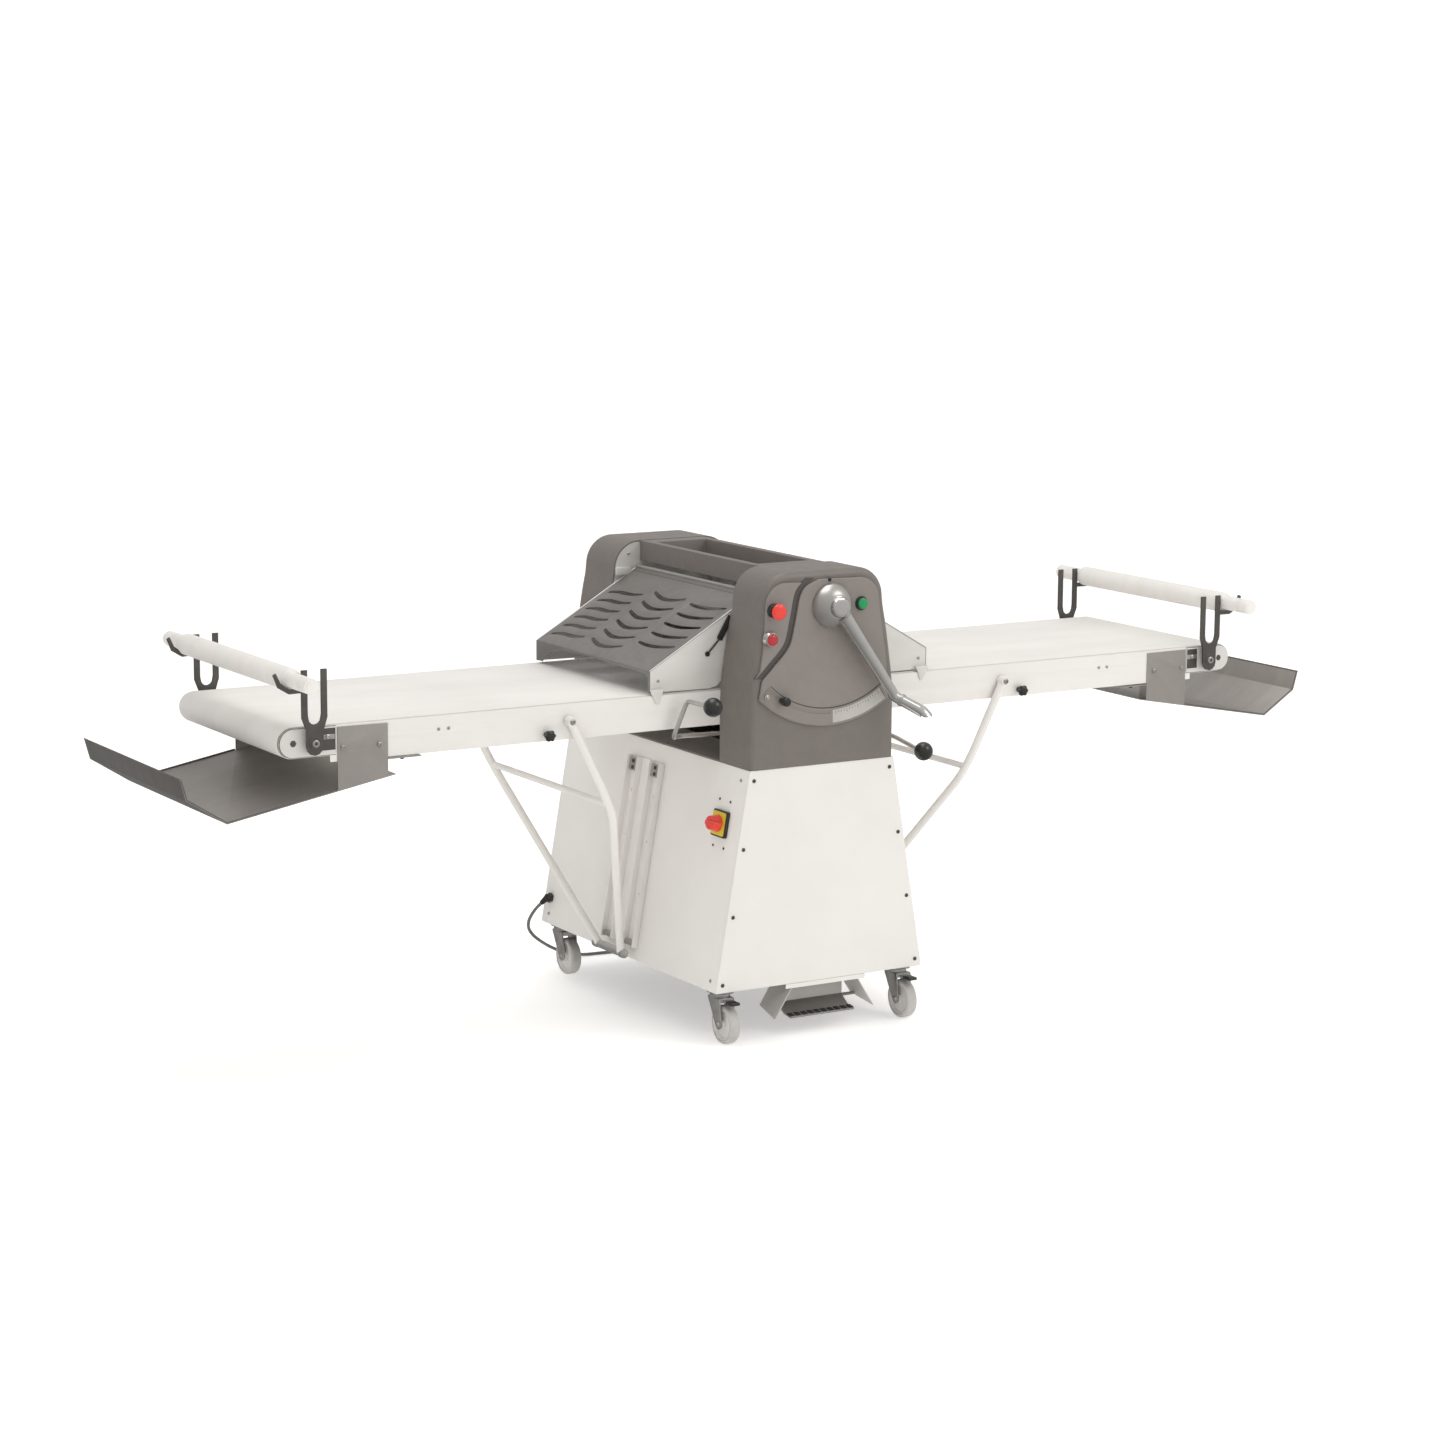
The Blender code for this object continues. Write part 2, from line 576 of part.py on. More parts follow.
# ================================================================ controls
def controls():
    yf = CHEEK_YF - 0.008          # face of the raised field
    # emergency stop: mushroom on a stem
    stop = turned("stop_button", [(0, 0.036), (0.012, 0.0355), (0.018, 0.0325), (0.0205, 0.028), (0.0195, 0.024), (0.011, 0.022),
                                  (0.011, -0.012), (0, -0.012)], (-0.157, yf, 1.108), "Y", 18)
    stop.data.transform(Matrix.Translation((-0.157, yf, 1.108)) @ Matrix.Rotation(pi, 4, "X") @ Matrix.Translation((0.157, -yf, -1.108)))
    finish(set_origin(stop, (-0.157, yf, 1.108)), REDP)
    start = turned("start_button", [(0, 0.012), (0.012, 0.0118), (0.0142, 0.009), (0.0142, 0.0058), (0.0115, 0.0056),
                                    (0.0115, -0.012), (0, -0.012)], (0.105, yf, 1.110), "Y", 18)
    start.data.transform(Matrix.Translation((0.105, yf, 1.110)) @ Matrix.Rotation(pi, 4, "X") @ Matrix.Translation((-0.105, -yf, -1.110)))
    finish(set_origin(start, (0.105, yf, 1.110)), GREENP)
    lamp = turned("pilot_lamp", [(0, 0.024), (0.010, 0.0225), (0.0155, 0.017), (0.0155, 0.013), (0.019, 0.011), (0.019, GAP),
                                 (0.0118, GAP), (0.0118, -0.0076), (0, -0.0076)], (-0.168, yf, 1.037), "Y", 18)
    lamp.data.transform(Matrix.Translation((-0.168, yf, 1.037)) @ Matrix.Rotation(pi, 4, "X") @ Matrix.Translation((0.168, -yf, -1.037)))
    finish(lamp, REDP)

    # thickness lever: domed hub, cap, arm with a bend, hand grip
    y = yf - GAP
    hub = turned("thickness_lever", [(0, 0.050), (0.024, 0.050), (0.0265, 0.046), (0.0265, 0.036), (0.045, 0.026), (0.0565, 0.010), (0.0575, 0.0),
                                     (0.016, 0.0), (0.016, -0.022), (0, -0.022)], (HUB[0], y, HUB[1]), "Y", 24)
    hub.data.transform(Matrix.Translation((HUB[0], y, HUB[1])) @ Matrix.Rotation(pi, 4, "X") @ Matrix.Translation((-HUB[0], -y, -HUB[1])))
    a = (HUB[0] + 0.020, y - 0.027, HUB[1] - 0.026)
    b = (0.190, -0.500, 0.868)
    c = (0.2407, -0.572, 0.8293)
    join(hub, cylinder("arm", a, b, 0.0210, 14, 0.0140), ball("elbow", b, 0.0142, 12, 7), cylinder("grip", b, c, 0.0140, 14, 0.0155))
    finish(set_origin(hub, (HUB[0], y, HUB[1])), CAST)

    # stop knob that slides in the scale's groove
    ang = radians(-121.5)
    kx, kz = ARC_C[0] + 0.27275 * cos(ang), ARC_C[1] + 0.27275 * sin(ang)
    knob = turned("stop_knob", [(0, 0.032), (0.008, 0.031), (0.0115, 0.026), (0.0115, 0.012), (0.0095, 0.0005), (0.0042, 0.0005), (0.0042, -0.012), (0, -0.012)],
                  (kx, yf, kz), "Y", 14)
    knob.data.transform(Matrix.Translation((kx, yf, kz)) @ Matrix.Rotation(pi, 4, "X") @ Matrix.Translation((-kx, -yf, -kz)))
    finish(set_origin(knob, (ARC_C[0], yf, ARC_C[1])), BLACK)

    # mains switch on the left side panel
    ang = math.atan(TAPER)
    zc, yc = 0.555, -0.365
    out = Vector((-cos(ang), 0, sin(ang)))
    up = Vector((sin(ang), 0, cos(ang)))
    base = Vector((-xs(zc), yc, zc)) + out * GAP
    m = Matrix(((out.x, 0, up.x), (out.y, -1, up.y), (out.z, 0, up.z))).to_4x4()
    place = Matrix.Translation(base) @ m       # local x -> outward, local y -> front, local z -> up
    sp = box("switch_plate", (0, -0.033, -0.033), (0.012, 0.033, 0.033))
    bevel(sp, 0.003, 1)
    sp.data.transform(place)
    finish(sp, YELLOW)
    kn = turned("switch_knob", [(0, 0.040), (0.016, 0.040), (0.018, 0.036), (0.022, 0.0125), (0, 0.0125)], (0, 0, 0), "X", 18)
    grip = box("grip", (0.020, -0.010, -0.0062), (0.046, 0.036, 0.0062))
    join(kn, grip)
    kn.data.transform(Matrix.Rotation(pi, 4, "X"))
    kn.data.transform(place)
    tidy(sp)
    tidy(kn)
    finish(set_origin(kn, tuple(base)), REDP)

    # belt reversing lever: one bent rod with a ball at each end, rocking under the tables
    yb, yi = -0.335, -0.290
    path = [(-0.328, -0.452, 0.876), (-0.328, yb, 0.873), (-0.352, yb, 0.820), (-0.368, yb, 0.783), (-0.330, yi, 0.776),
            (0.0, yi, 0.768), (0.290, yi, 0.735), (0.306, yb, 0.726), (0.308, -0.452, 0.709)]
    rod = to_mesh(tube("reversing_lever", rounded_path(path, 0.012, 2), 0.006, 1))
    join(rod, ball("b1", (-0.328, -0.462, 0.876), 0.0245, 12, 8), ball("b2", (0.308, -0.462, 0.709), 0.0245, 12, 8),
         cylinder("boss", (0, -0.3085, 0.768), (0, -0.272, 0.768), 0.013, 14))
    finish(set_origin(rod, (0, yi, 0.768)), BLACK)

    # foot pedal under the front edge, in a hood with a back plate, a front lip and two flared cheeks
    top, low = CAB_Z0 - GAP, 0.044
    house = plate("pedal_housing", [[(PEDAL_X - 0.111, top), (PEDAL_X + 0.111, top), (PEDAL_X + 0.111, 0.049), (PEDAL_X - 0.111, 0.049)]],
                  "XZ", -0.366, -0.363)
    lip = plate("lip", [[(PEDAL_X - 0.120, top), (PEDAL_X + 0.120, top), (PEDAL_X + 0.120, 0.126), (PEDAL_X - 0.120, 0.126)]],
                "XZ", -0.459, -0.456)
    cheeks = [plate(f"cheek_{s}", [[(PEDAL_X + s * 0.095, top), (PEDAL_X + s * 0.155, low), (PEDAL_X + s * 0.1515, low), (PEDAL_X + s * 0.0915, top)]],
                    "XZ", -0.4575, -0.3645) for s in (-1, 1)]
    for k, cheek in enumerate(cheeks):
        cut(cheek, plate(f"under_{k}", [[(-0.47, low + 0.002), (-0.36, low + 0.022), (-0.36, 0.0), (-0.47, 0.0)]], "YZ",
                         PEDAL_X - 0.2, PEDAL_X + 0.2, True))
    join(house, lip, *cheeks)
    finish(house, STEEL)
    ped = plate("foot_pedal", [[(-0.395, 0.068), (-0.424, 0.050), (-0.458, 0.0450), (-0.458, 0.0500), (-0.427, 0.0550), (-0.398, 0.0735)]],
                "YZ", PEDAL_X - 0.104, PEDAL_X + 0.090)
    join(ped, cylinder("hinge", (PEDAL_X - 0.1315, -0.392, 0.070), (PEDAL_X + 0.1315, -0.392, 0.070), 0.0045, 10))
    finish(set_origin(ped, (0, -0.392, 0.070)), DARK)


# ================================================================ tables
def table(side, tag):
    """One conveyor table with its roller, belt, forks, pin, tray and support. side is -1 or 1."""
    hinge = (side * DRIVE_X, 0, AXLE_Z)
    X = lambda x: side * x

    def sbox(name, x0, x1, y0, y1, z0, z1, cutter=False):
        a, b = sorted((X(x0), X(x1)))
        return box(name, (a, y0, z0), (b, y1, z1), cutter)

    # frame: two side skirts that end in round tongues, a bed plate under the belt's top run, cross bars
    hole_r = 0.0078
    skirts = []
    for s in (-1, 1):
        ya, yb = sorted((s * SKIRT_Y, s * (SKIRT_Y - 0.0025)))
        outline = ([(0.150, SKIRT_Z0 + 0.020), (0.190, SKIRT_Z0), (SKIRT_END, SKIRT_Z0), (SKIRT_END, AXLE_Z - 0.0365)]
                   + arc(AXLE_X, AXLE_Z, 0.0365, -90, 90, 8) + [(SKIRT_END, AXLE_Z + 0.0365), (SKIRT_END, SKIRT_Z1 - 0.0005), (0.150, SKIRT_Z1 - 0.0005)]
                   + arc(DRIVE_X, AXLE_Z, 0.030, 75, 270, 6))
        hole = arc(AXLE_X, AXLE_Z, hole_r, 0, 330, 11)
        hole2 = arc(DRIVE_X, AXLE_Z, 0.0148, 0, 330, 11)
        slot = [(1.310, AXLE_Z + 0.006), (1.338, AXLE_Z + 0.006), (1.338, AXLE_Z + 0.024), (1.310, AXLE_Z + 0.024)]
        skirts.append(plate(f"{tag}_skirt", [mirrored(outline, side), mirrored(hole, side), mirrored(hole2, side), mirrored(slot, side)], "XZ", ya, yb))
    bz1 = BELT_TOP - BELT_T - GAP
    frame = sbox(f"{tag}_table_frame", 0.185, 1.355, -SKIRT_Y + 0.0010, SKIRT_Y - 0.0010, bz1 - 0.0030, bz1)
    bars = [sbox("bar", x, x + 0.030, -SKIRT_Y + 0.001, SKIRT_Y - 0.001, 0.842, bz1 - 0.001) for x in (0.22, 0.95)]
    join(frame, skirts[0], skirts[1], *bars)
    finish(set_origin(frame, hinge), WHITE)

    # belt: a thin loop round both rollers
    ri = BELT_RI
    ro = ri + BELT_T
    loop = lambda r: mirrored(arc(AXLE_X, AXLE_Z, r, -90, 90, 10) + arc(DRIVE_X, AXLE_Z, r, 90, 270, 10), side)
    belt = plate(f"{tag}_belt", [loop(ro), loop(ri)], "XZ", -BELT_HALF, BELT_HALF)
    finish(set_origin(belt, hinge), BELT)

    for name, x, jr in ((f"{tag}_end_roller", AXLE_X, 0.006), (f"{tag}_drive_roller", DRIVE_X, 0.0125)):
        je = 0.3120 if "end" in name else 0.3093
        r = turned(name, [(0, je), (jr, je), (jr, 0.300), (ROLLER_R, 0.300), (ROLLER_R, -0.300), (jr, -0.300), (jr, -je), (0, -je)],
                   (X(x), 0, AXLE_Z), "Y", 20)
        finish(set_origin(r, (X(x), 0, AXLE_Z)), STEEL)

    # forks: flat bars bent into a U with an outward hook, bolted to the tongue through a round foot
    for s, where in ((-1, "front"), (1, "rear")):
        yf = s * FORK_Y
        ya, yb = sorted((yf - s * 0.0165, yf + s * 0.0015 ))
        y_lo, y_hi = sorted((s * 0.3265, s * 0.3325))
        xi, xo = 1.3239, 1.3746       # tine centres
        w = 0.0075
        u = ([(xo + w, 1.0306), (xo - w, 1.0306), (xo - w, 0.925)] + arc((xi + xo) / 2, 0.915, 0.0165, 0, -180, 6)
             + [(xi + w, 0.925), (xi + w, 1.0306), (xi - w, 1.0306), (xi - w, 0.915), (xi + 0.002, 0.885),
                (xi + 0.004, 0.845)] + arc((xi + xo) / 2, 0.845, 0.0215, 180, 360, 6)
             + [(xo - 0.004, 0.885), (xo + w, 0.915),
                (xo + w, 0.977), (1.415, 0.9765), (1.442, 0.993), (1.4545, 1.024), (1.447, 1.028), (1.436, 1.0045), (1.413, 0.9875), (xo + w, 0.9885)])
        fork = plate(f"{tag}_{where}_fork", [mirrored(u, side)], "XZ", y_lo, y_hi)
        fx = X((xi + xo) / 2)
        join(fork, cylinder("bolt", (fx, s * (SKIRT_Y + GAP), AXLE_Z), (fx, s * 0.338, AXLE_Z), 0.0085, 10))
        finish(set_origin(fork, hinge), DARK)

    # rolling pin: a long body with thinner ends that lie in the hooks
    pl, pe = 0.3220, 0.440
    pin = turned(f"{tag}_rolling_pin", [(0, pe), (PIN_END_R - 0.004, pe), (PIN_END_R, pe - 0.004), (PIN_END_R, pl + 0.003), (PIN_R - 0.003, pl), (PIN_R, pl - 0.006),
                                        (PIN_R, -pl + 0.006), (PIN_R - 0.003, -pl), (PIN_END_R, -pl - 0.003), (PIN_END_R, -pe + 0.004), (PIN_END_R - 0.004, -pe), (0, -pe)],
                 (X(PIN_X), 0, PIN_Z), "Y", 16)
    finish(set_origin(pin, (X(PIN_X), 0, PIN_Z)), PIN)

    # tray: folded sheet with two side plates screwed to the skirts
    prof = [(TRAY_X0 - 0.020, TRAY_Z0 + 0.0036), (TRAY_X1, TRAY_Z1), (TRAY_X2, TRAY_Z2), (TRAY_X3, TRAY_Z3)]
    tray = folded(f"{tag}_tray", mirrored(prof, side), "XZ", -TRAY_Y, TRAY_Y, 0.0020, 0.0)
    extra = []
    for s in (-1, 1):
        ya, yb = sorted((s * (SKIRT_Y + GAP), s * (SKIRT_Y + 0.0026)))
        side_plate = [(1.149, 0.8830), (1.149, 0.7526), (1.2815, 0.7290), (1.2815, 0.8840)]
        extra.append(plate("ear", [mirrored(side_plate, side)], "XZ", ya, yb))
        for x, z in ((1.268, 0.834), (1.172, 0.833)):
            extra.append(cylinder("sc", (X(x), s * (SKIRT_Y + 0.002), z), (X(x), s * (SKIRT_Y + 0.0052), z), 0.0050, 8))
        lug = sorted((s * (SKIRT_Y - 0.030), s * (SKIRT_Y + 0.0026)))
        extra.append(sbox("lug", 1.060, 1.160, lug[0], lug[1], 0.7940, 0.7970))
        extra.append(sbox("lugw", 1.150, 1.1535, lug[0], lug[1], 0.7540, 0.7960))
    join(tray, *extra)
    finish(set_origin(tray, hinge), TRAYGREY)

    # support: two bent legs, a cross bar at the bends and a foot bar that slides in the side rails
    fx = xs(FOOT_Z) + 0.034
    leg_y = SKIRT_Y + 0.0030 + STRUT_R
    solids = []
    for s, fy in ((-1, FOOT_YF), (1, FOOT_YR)):
        # the upper part stays outside the skirt, so that the leg can fold up along the table
        pts = [(X(STRUT_X), s * leg_y, STRUT_Z), (X(STRUT_X - 0.095), s * leg_y, STRUT_Z - 0.189), (X(BEND_X), s * 0.3120, BEND_Z), (X(fx), fy, FOOT_Z)]
        solids.append(to_mesh(tube("leg", rounded_path(pts, 0.05, 2), STRUT_R, 2)))
        a, b = sorted((s * (SKIRT_Y + GAP), s * (leg_y + STRUT_R + 0.001)))
        solids.append(cylinder("eye", (X(STRUT_X), a, STRUT_Z), (X(STRUT_X), b, STRUT_Z), 0.0125, 12))
    brace = cylinder("brace", (X(BEND_X + 0.012), -0.314, BEND_Z + 0.028), (X(BEND_X + 0.012), 0.314, BEND_Z + 0.028), 0.0085, 10)
    foot = cylinder("foot", (X(fx), FOOT_YF - 0.022, FOOT_Z), (X(fx), FOOT_YR + 0.022, FOOT_Z), 0.0112, 12)
    sup = solids[0]
    sup.name = f"{tag}_support"
    join(sup, *solids[1:], brace, foot)
    finish(set_origin(sup, (X(STRUT_X), 0, STRUT_Z)), WHITE)

    # clamping knob under the skirt
    kx, kz = X(0.717), 0.8165
    k = turned(f"{tag}_lock_knob", [(0, 0.030), (0.010, 0.030), (0.013, 0.027), (0.013, 0.013), (0.007, 0.010), (0.007, GAP), (0, GAP)],
               (kx, -SKIRT_Y, kz), "Y", 8)
    k.data.transform(Matrix.Translation((kx, -SKIRT_Y, kz)) @ Matrix.Rotation(pi, 4, "X") @ Matrix.Translation((-kx, SKIRT_Y, -kz)))
    finish(set_origin(k, (kx, -SKIRT_Y, kz)), BLACK)


# ================================================================ guards
def guard(side, tag):
    """A slotted cover plate with a bent-down front lip and two side plates, hinged below the trough."""
    X = lambda x: side * x
    hx, hz = GUARD_HINGE
    lx, lz = GUARD_LIP
    gy = 0.3035
    d = Vector((lx - hx, lz - hz)).normalized()
    nrm = Vector((-d.y, d.x))              # points up and outwards
    t = 0.0025
    # slots, as stadium cutters through the plate: three columns of bars, skewed between columns
    top = [(hx + 0.004, hz - 0.002), (lx, lz), (lx, 0.900), (lx - 0.0025, 0.900)]
    under = [(lx - t, 0.900), (lx - t, lz - 0.0015), (hx + 0.004 - 0.0012, hz - 0.002 - t)]
    outline = [(hx + 0.004, hz - 0.002), (lx, lz), (lx, 0.900), (lx - t, 0.900), (lx - t, lz - 0.0013), (hx + 0.0025, hz - 0.0048)]
    cover = plate(f"{tag}_guard", [mirrored(outline, side)], "XZ", -gy, gy)
    plates = []
    for s in (-1, 1):
        ya, yb = sorted((s * (gy - 0.0004), s * (gy - 0.0029)))
        sp = [(hx + 0.0035, hz - 0.003), (lx - 0.0005, lz - 0.001), (lx - 0.0005, 0.8965), (0.236, 0.8945), (0.196, 0.930), (hx + 0.012, 1.085)]
        plates.append(plate("sidep", [mirrored(sp, side)], "XZ", ya, yb))
    tube_h = cylinder("rod", (X(hx), -0.3085, hz - 0.0005), (X(hx), 0.3085, hz - 0.0005), 0.0055, 10)
    join(cover, *plates, tube_h)
    cuts = []
    L = (Vector((lx, lz)) - Vector((hx, hz))).length
    for col, (y0, y1) in enumerate(((-0.265, -0.120), (-0.075, 0.075), (0.120, 0.265))):
        for row in range(5):
            u0 = 0.085 + 0.052 * row + (0.018 if col == 1 else 0.0)
            if u0 > L - 0.05:
                continue
            sk = (0.022, -0.022, 0.022)[col]
            n = 3
            pts = []
            for (yy, uu) in ((y0, u0 - sk), (y1, u0 + sk), (y1, u0 + sk + 0.016), (y0, u0 - sk + 0.016)):
                pts.append((yy, uu))
            bm = bmesh.new()
            vs = []
            for h in (-0.006, 0.006):
                for yy, uu in pts:
                    p = Vector((hx, hz)) + d * uu + nrm * h
                    vs.append(bm.verts.new((X(p.x), yy, p.y)))
            a, b = vs[:4], vs[4:]
            bm.faces.new(a)
            bm.faces.new(b)
            for i in range(4):
                bm.faces.new((a[i], a[(i + 1) % 4], b[(i + 1) % 4], b[i]))
            cuts.append(from_bm(bm, "slot", True))
    # opening in the lip where the dough passes, long towards the front
    arch_loop = [(0.268, 0.880), (0.262, 0.903), (0.235, 0.922), (0.190, 0.936), (0.130, 0.9440), (0.060, 0.9465),
                 (-0.100, 0.9455), (-0.296, 0.9430), (-0.296, 0.880)]
    a_lo, a_hi = sorted((X(lx - 0.02), X(lx + 0.01)))
    cuts.append(plate("arch", [arch_loop], "YZ", a_lo, a_hi, True))
    cut(cover, *cuts)
    finish(set_origin(cover, (X(hx), 0, hz - 0.0005)), GREY)


# ================================================================ casters and cord
def caster(tag, x, y):
    """Swivel fork: y is the swivel axis, and the wheel trails towards the front."""
    wy = y - CASTER_TRAIL
    top = CAB_Z0 - GAP
    fork = box(f"{tag}_caster_fork", (x - 0.026, y - 0.026, top - 0.010), (x + 0.026, y + 0.026, top))
    race = cylinder("race", (x, y, top - 0.006), (x, y, top - 0.022), 0.024, 16)
    crown = box("crown", (x - 0.0212, y - 0.0330, top - 0.0305), (x + 0.0212, y + 0.0230, top - 0.0195))
    legs = []
    for s in (-1, 1):
        xa, xb = sorted((x + s * 0.0225, x + s * 0.0190))
        out = [(y + 0.024, top - 0.021), (y - 0.034, top - 0.021), (wy - 0.012, WHEEL_R - 0.004), (wy, WHEEL_R - 0.013), (wy + 0.012, WHEEL_R - 0.006)]
        legs.append(plate("leg", [out], "YZ", xa, xb))
    axle = cylinder("axle", (x - 0.0275, wy, WHEEL_R), (x + 0.0275, wy, WHEEL_R), 0.0050, 10)
    extra = []
    if "front" in tag:
        extra.append(box("brake", (x - 0.0120, y - 0.078, top - 0.0290), (x + 0.0120, y - 0.030, top - 0.0235)))
    join(fork, race, crown, *legs, axle, *extra)
    finish(set_origin(fork, (x, y, top)), STEEL)
    hw = WHEEL_W / 2
    prof = [(0.0054, hw), (0.045, hw), (WHEEL_R, hw - 0.006), (WHEEL_R, -hw + 0.006), (0.045, -hw), (0.0054, -hw), (0.0054, hw)]
    wheel = turned(f"{tag}_wheel", prof, (x, wy, WHEEL_R), "X", 24)
    finish(set_origin(wheel, (x, wy, WHEEL_R)), RUBBER)


# the mains lead: from the gland round the rear corner, down to the floor and into its coil
GLAND_Z, GLAND_Y = 0.208, 0.445
GLAND_DIR = (-0.55, 0.45, -0.70)
CORD_ROUTE = [(-0.3266, 0.4563, 0.1927), (-0.3360, 0.4640, 0.1800), (-0.3440, 0.4770, 0.1600), (-0.3450, 0.4940, 0.1370), (-0.3360, 0.5115, 0.1130),
              (-0.3160, 0.5265, 0.0890), (-0.2870, 0.5370, 0.0660), (-0.2530, 0.5440, 0.0440), (-0.2150, 0.5480, 0.0250), (-0.1750, 0.5500, 0.0115),
              (-0.1350, 0.5500, 0.0060), (-0.0900, 0.5480, 0.0049), (-0.0300, 0.5400, 0.0049), (0.0300, 0.5310, 0.0049), (0.0900, 0.5247, 0.0049), (0.1500, 0.5236, 0.0049)]
COIL_C, COIL_R, COIL_W, COIL_H = (0.150, 0.5995), 0.05235, 0.0375, 0.0186


def smooth_curve(points, n):
    """Points read along a Catmull-Rom curve through the route."""
    pts = [Vector(p) for p in points]
    pts = [pts[0] * 2 - pts[1]] + pts + [pts[-1] * 2 - pts[-2]]
    out = []
    segs = len(pts) - 3
    for i in range(n + 1):
        t = i / n * segs
        k = min(int(t), segs - 1)
        f = t - k
        a, b, c, d = pts[k:k + 4]
        out.append(tuple(0.5 * ((2 * b) + (c - a) * f + (2 * a - 5 * b + 4 * c - d) * f * f + (3 * b - a - 3 * c + d) * f ** 3)))
    return out


def cord():
    ang = math.atan(TAPER)
    out = Vector((-cos(ang), 0, sin(ang)))
    p = Vector((-xs(GLAND_Z), GLAND_Y, GLAND_Z))
    elbow = p + out * 0.012
    d0 = Vector(GLAND_DIR).normalized()
    gland = cylinder("cable_gland", tuple(p + out * GAP), tuple(p + out * 0.009), 0.0140, 6)
    join(gland, cylinder("body", tuple(p + out * 0.006), tuple(elbow + out * 0.004), 0.0105, 12),
         cylinder("spout", tuple(elbow - d0 * 0.004), tuple(elbow + d0 * 0.0235), 0.0102, 12, 0.0065))
    finish(gland, BLACK)

    line = tube("power_cord", smooth_curve(CORD_ROUTE, 46), CORD_D / 2, 2)
    line.data.materials.append(CABLE)
    ring = turned("cord_coil", [(COIL_R - COIL_W / 2, COIL_H + 0.0004), (COIL_R + COIL_W / 2, COIL_H + 0.0004), (COIL_R + COIL_W / 2, 0.0004),
                                (COIL_R - COIL_W / 2, 0.0004), (COIL_R - COIL_W / 2, COIL_H + 0.0004)], (*COIL_C, 0), "Z", 24)
    finish(ring, CABLE)
    px, py = COIL_C[0] + 0.0760, COIL_C[1] - 0.0663
    plug = cylinder("mains_plug", (px, py, 0.0235), (px + 0.052, py, 0.0235), 0.0225, 12)
    join(plug, cylinder("tail", (px - 0.030, py, 0.0235), (px + 0.002, py, 0.0235), 0.0075, 10, 0.013),
         cylinder("pin1", (px + 0.050, py, 0.0330), (px + 0.070, py, 0.0330), 0.0024, 8),
         cylinder("pin2", (px + 0.050, py, 0.0140), (px + 0.070, py, 0.0140), 0.0024, 8))
    finish(plug, BLACK)


def build():
    cabinet()
    guide_rails(-1, "left_guide_rails")
    guide_rails(1, "right_guide_rails")
    head()
    controls()
    for side, tag in ((-1, "left"), (1, "right")):
        table(side, tag)
        guard(side, tag)
    for tag, x, y in (("front_left", -CASTER_X, CASTER_YF), ("front_right", CASTER_X, CASTER_YF),
                      ("rear_left", -CASTER_X, CASTER_YR), ("rear_right", CASTER_X, CASTER_YR)):
        caster(tag, x, y)
    cord()


build()
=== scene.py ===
"""Looks of the floor-standing dough sheeter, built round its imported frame."""
import bpy
import bmesh
import json
from math import sin, cos, pi, radians, atan, sqrt
from mathutils import Matrix, Vector

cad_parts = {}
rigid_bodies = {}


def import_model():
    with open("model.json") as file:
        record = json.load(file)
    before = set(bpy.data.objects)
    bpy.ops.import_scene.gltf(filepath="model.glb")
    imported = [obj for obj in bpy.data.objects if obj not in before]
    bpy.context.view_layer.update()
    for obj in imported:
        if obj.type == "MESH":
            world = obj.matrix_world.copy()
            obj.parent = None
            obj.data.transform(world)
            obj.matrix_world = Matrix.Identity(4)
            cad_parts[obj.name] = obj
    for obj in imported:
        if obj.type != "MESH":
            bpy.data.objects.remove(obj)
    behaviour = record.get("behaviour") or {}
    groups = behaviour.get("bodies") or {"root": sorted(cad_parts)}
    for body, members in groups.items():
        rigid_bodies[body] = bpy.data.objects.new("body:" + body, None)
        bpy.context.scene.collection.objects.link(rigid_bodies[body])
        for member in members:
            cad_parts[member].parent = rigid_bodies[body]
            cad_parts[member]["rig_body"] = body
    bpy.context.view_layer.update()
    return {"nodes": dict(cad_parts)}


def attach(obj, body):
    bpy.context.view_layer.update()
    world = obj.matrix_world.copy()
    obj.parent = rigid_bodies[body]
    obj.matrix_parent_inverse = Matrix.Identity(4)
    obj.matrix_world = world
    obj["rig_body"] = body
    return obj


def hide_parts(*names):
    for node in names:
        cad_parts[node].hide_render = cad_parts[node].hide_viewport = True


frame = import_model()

NODES = frame["nodes"]
YS = 0.0511                      # the machine's own middle plane lies this far behind the frame's origin
scene = bpy.context.scene


def P(x, y, z):
    return Vector((x, y + YS, z))


# ------------------------------------------------------------------ camera
rho = radians(0.374)
back = Vector((-0.50725, -0.84449, 0.17184)).normalized()
r0 = Vector((0.85725, -0.51491, 0.0)).normalized()
u0 = back.cross(r0).normalized()
right = cos(rho) * r0 + sin(rho) * u0
up = -sin(rho) * r0 + cos(rho) * u0
cam_data = bpy.data.cameras.new("camera")
cam_data.lens = 86.04
cam_data.sensor_width = 36
cam_data.clip_end = 100
cam = bpy.data.objects.new("camera", cam_data)
m = Matrix.Identity(4)
for i, axis in enumerate((right, up, back)):
    for j in range(3):
        m[j][i] = axis[j]
m.translation = (-4.6723, -7.6898, 2.3166)
cam.matrix_world = m
scene.collection.objects.link(cam)
scene.camera = cam


# ------------------------------------------------------------------ materials
def node_material(name):
    mat = bpy.data.materials.new(name)
    mat.use_nodes = True
    nt = mat.node_tree
    bsdf = nt.nodes["Principled BSDF"]
    coord = nt.nodes.new("ShaderNodeTexCoord")
    return mat, nt, bsdf, coord


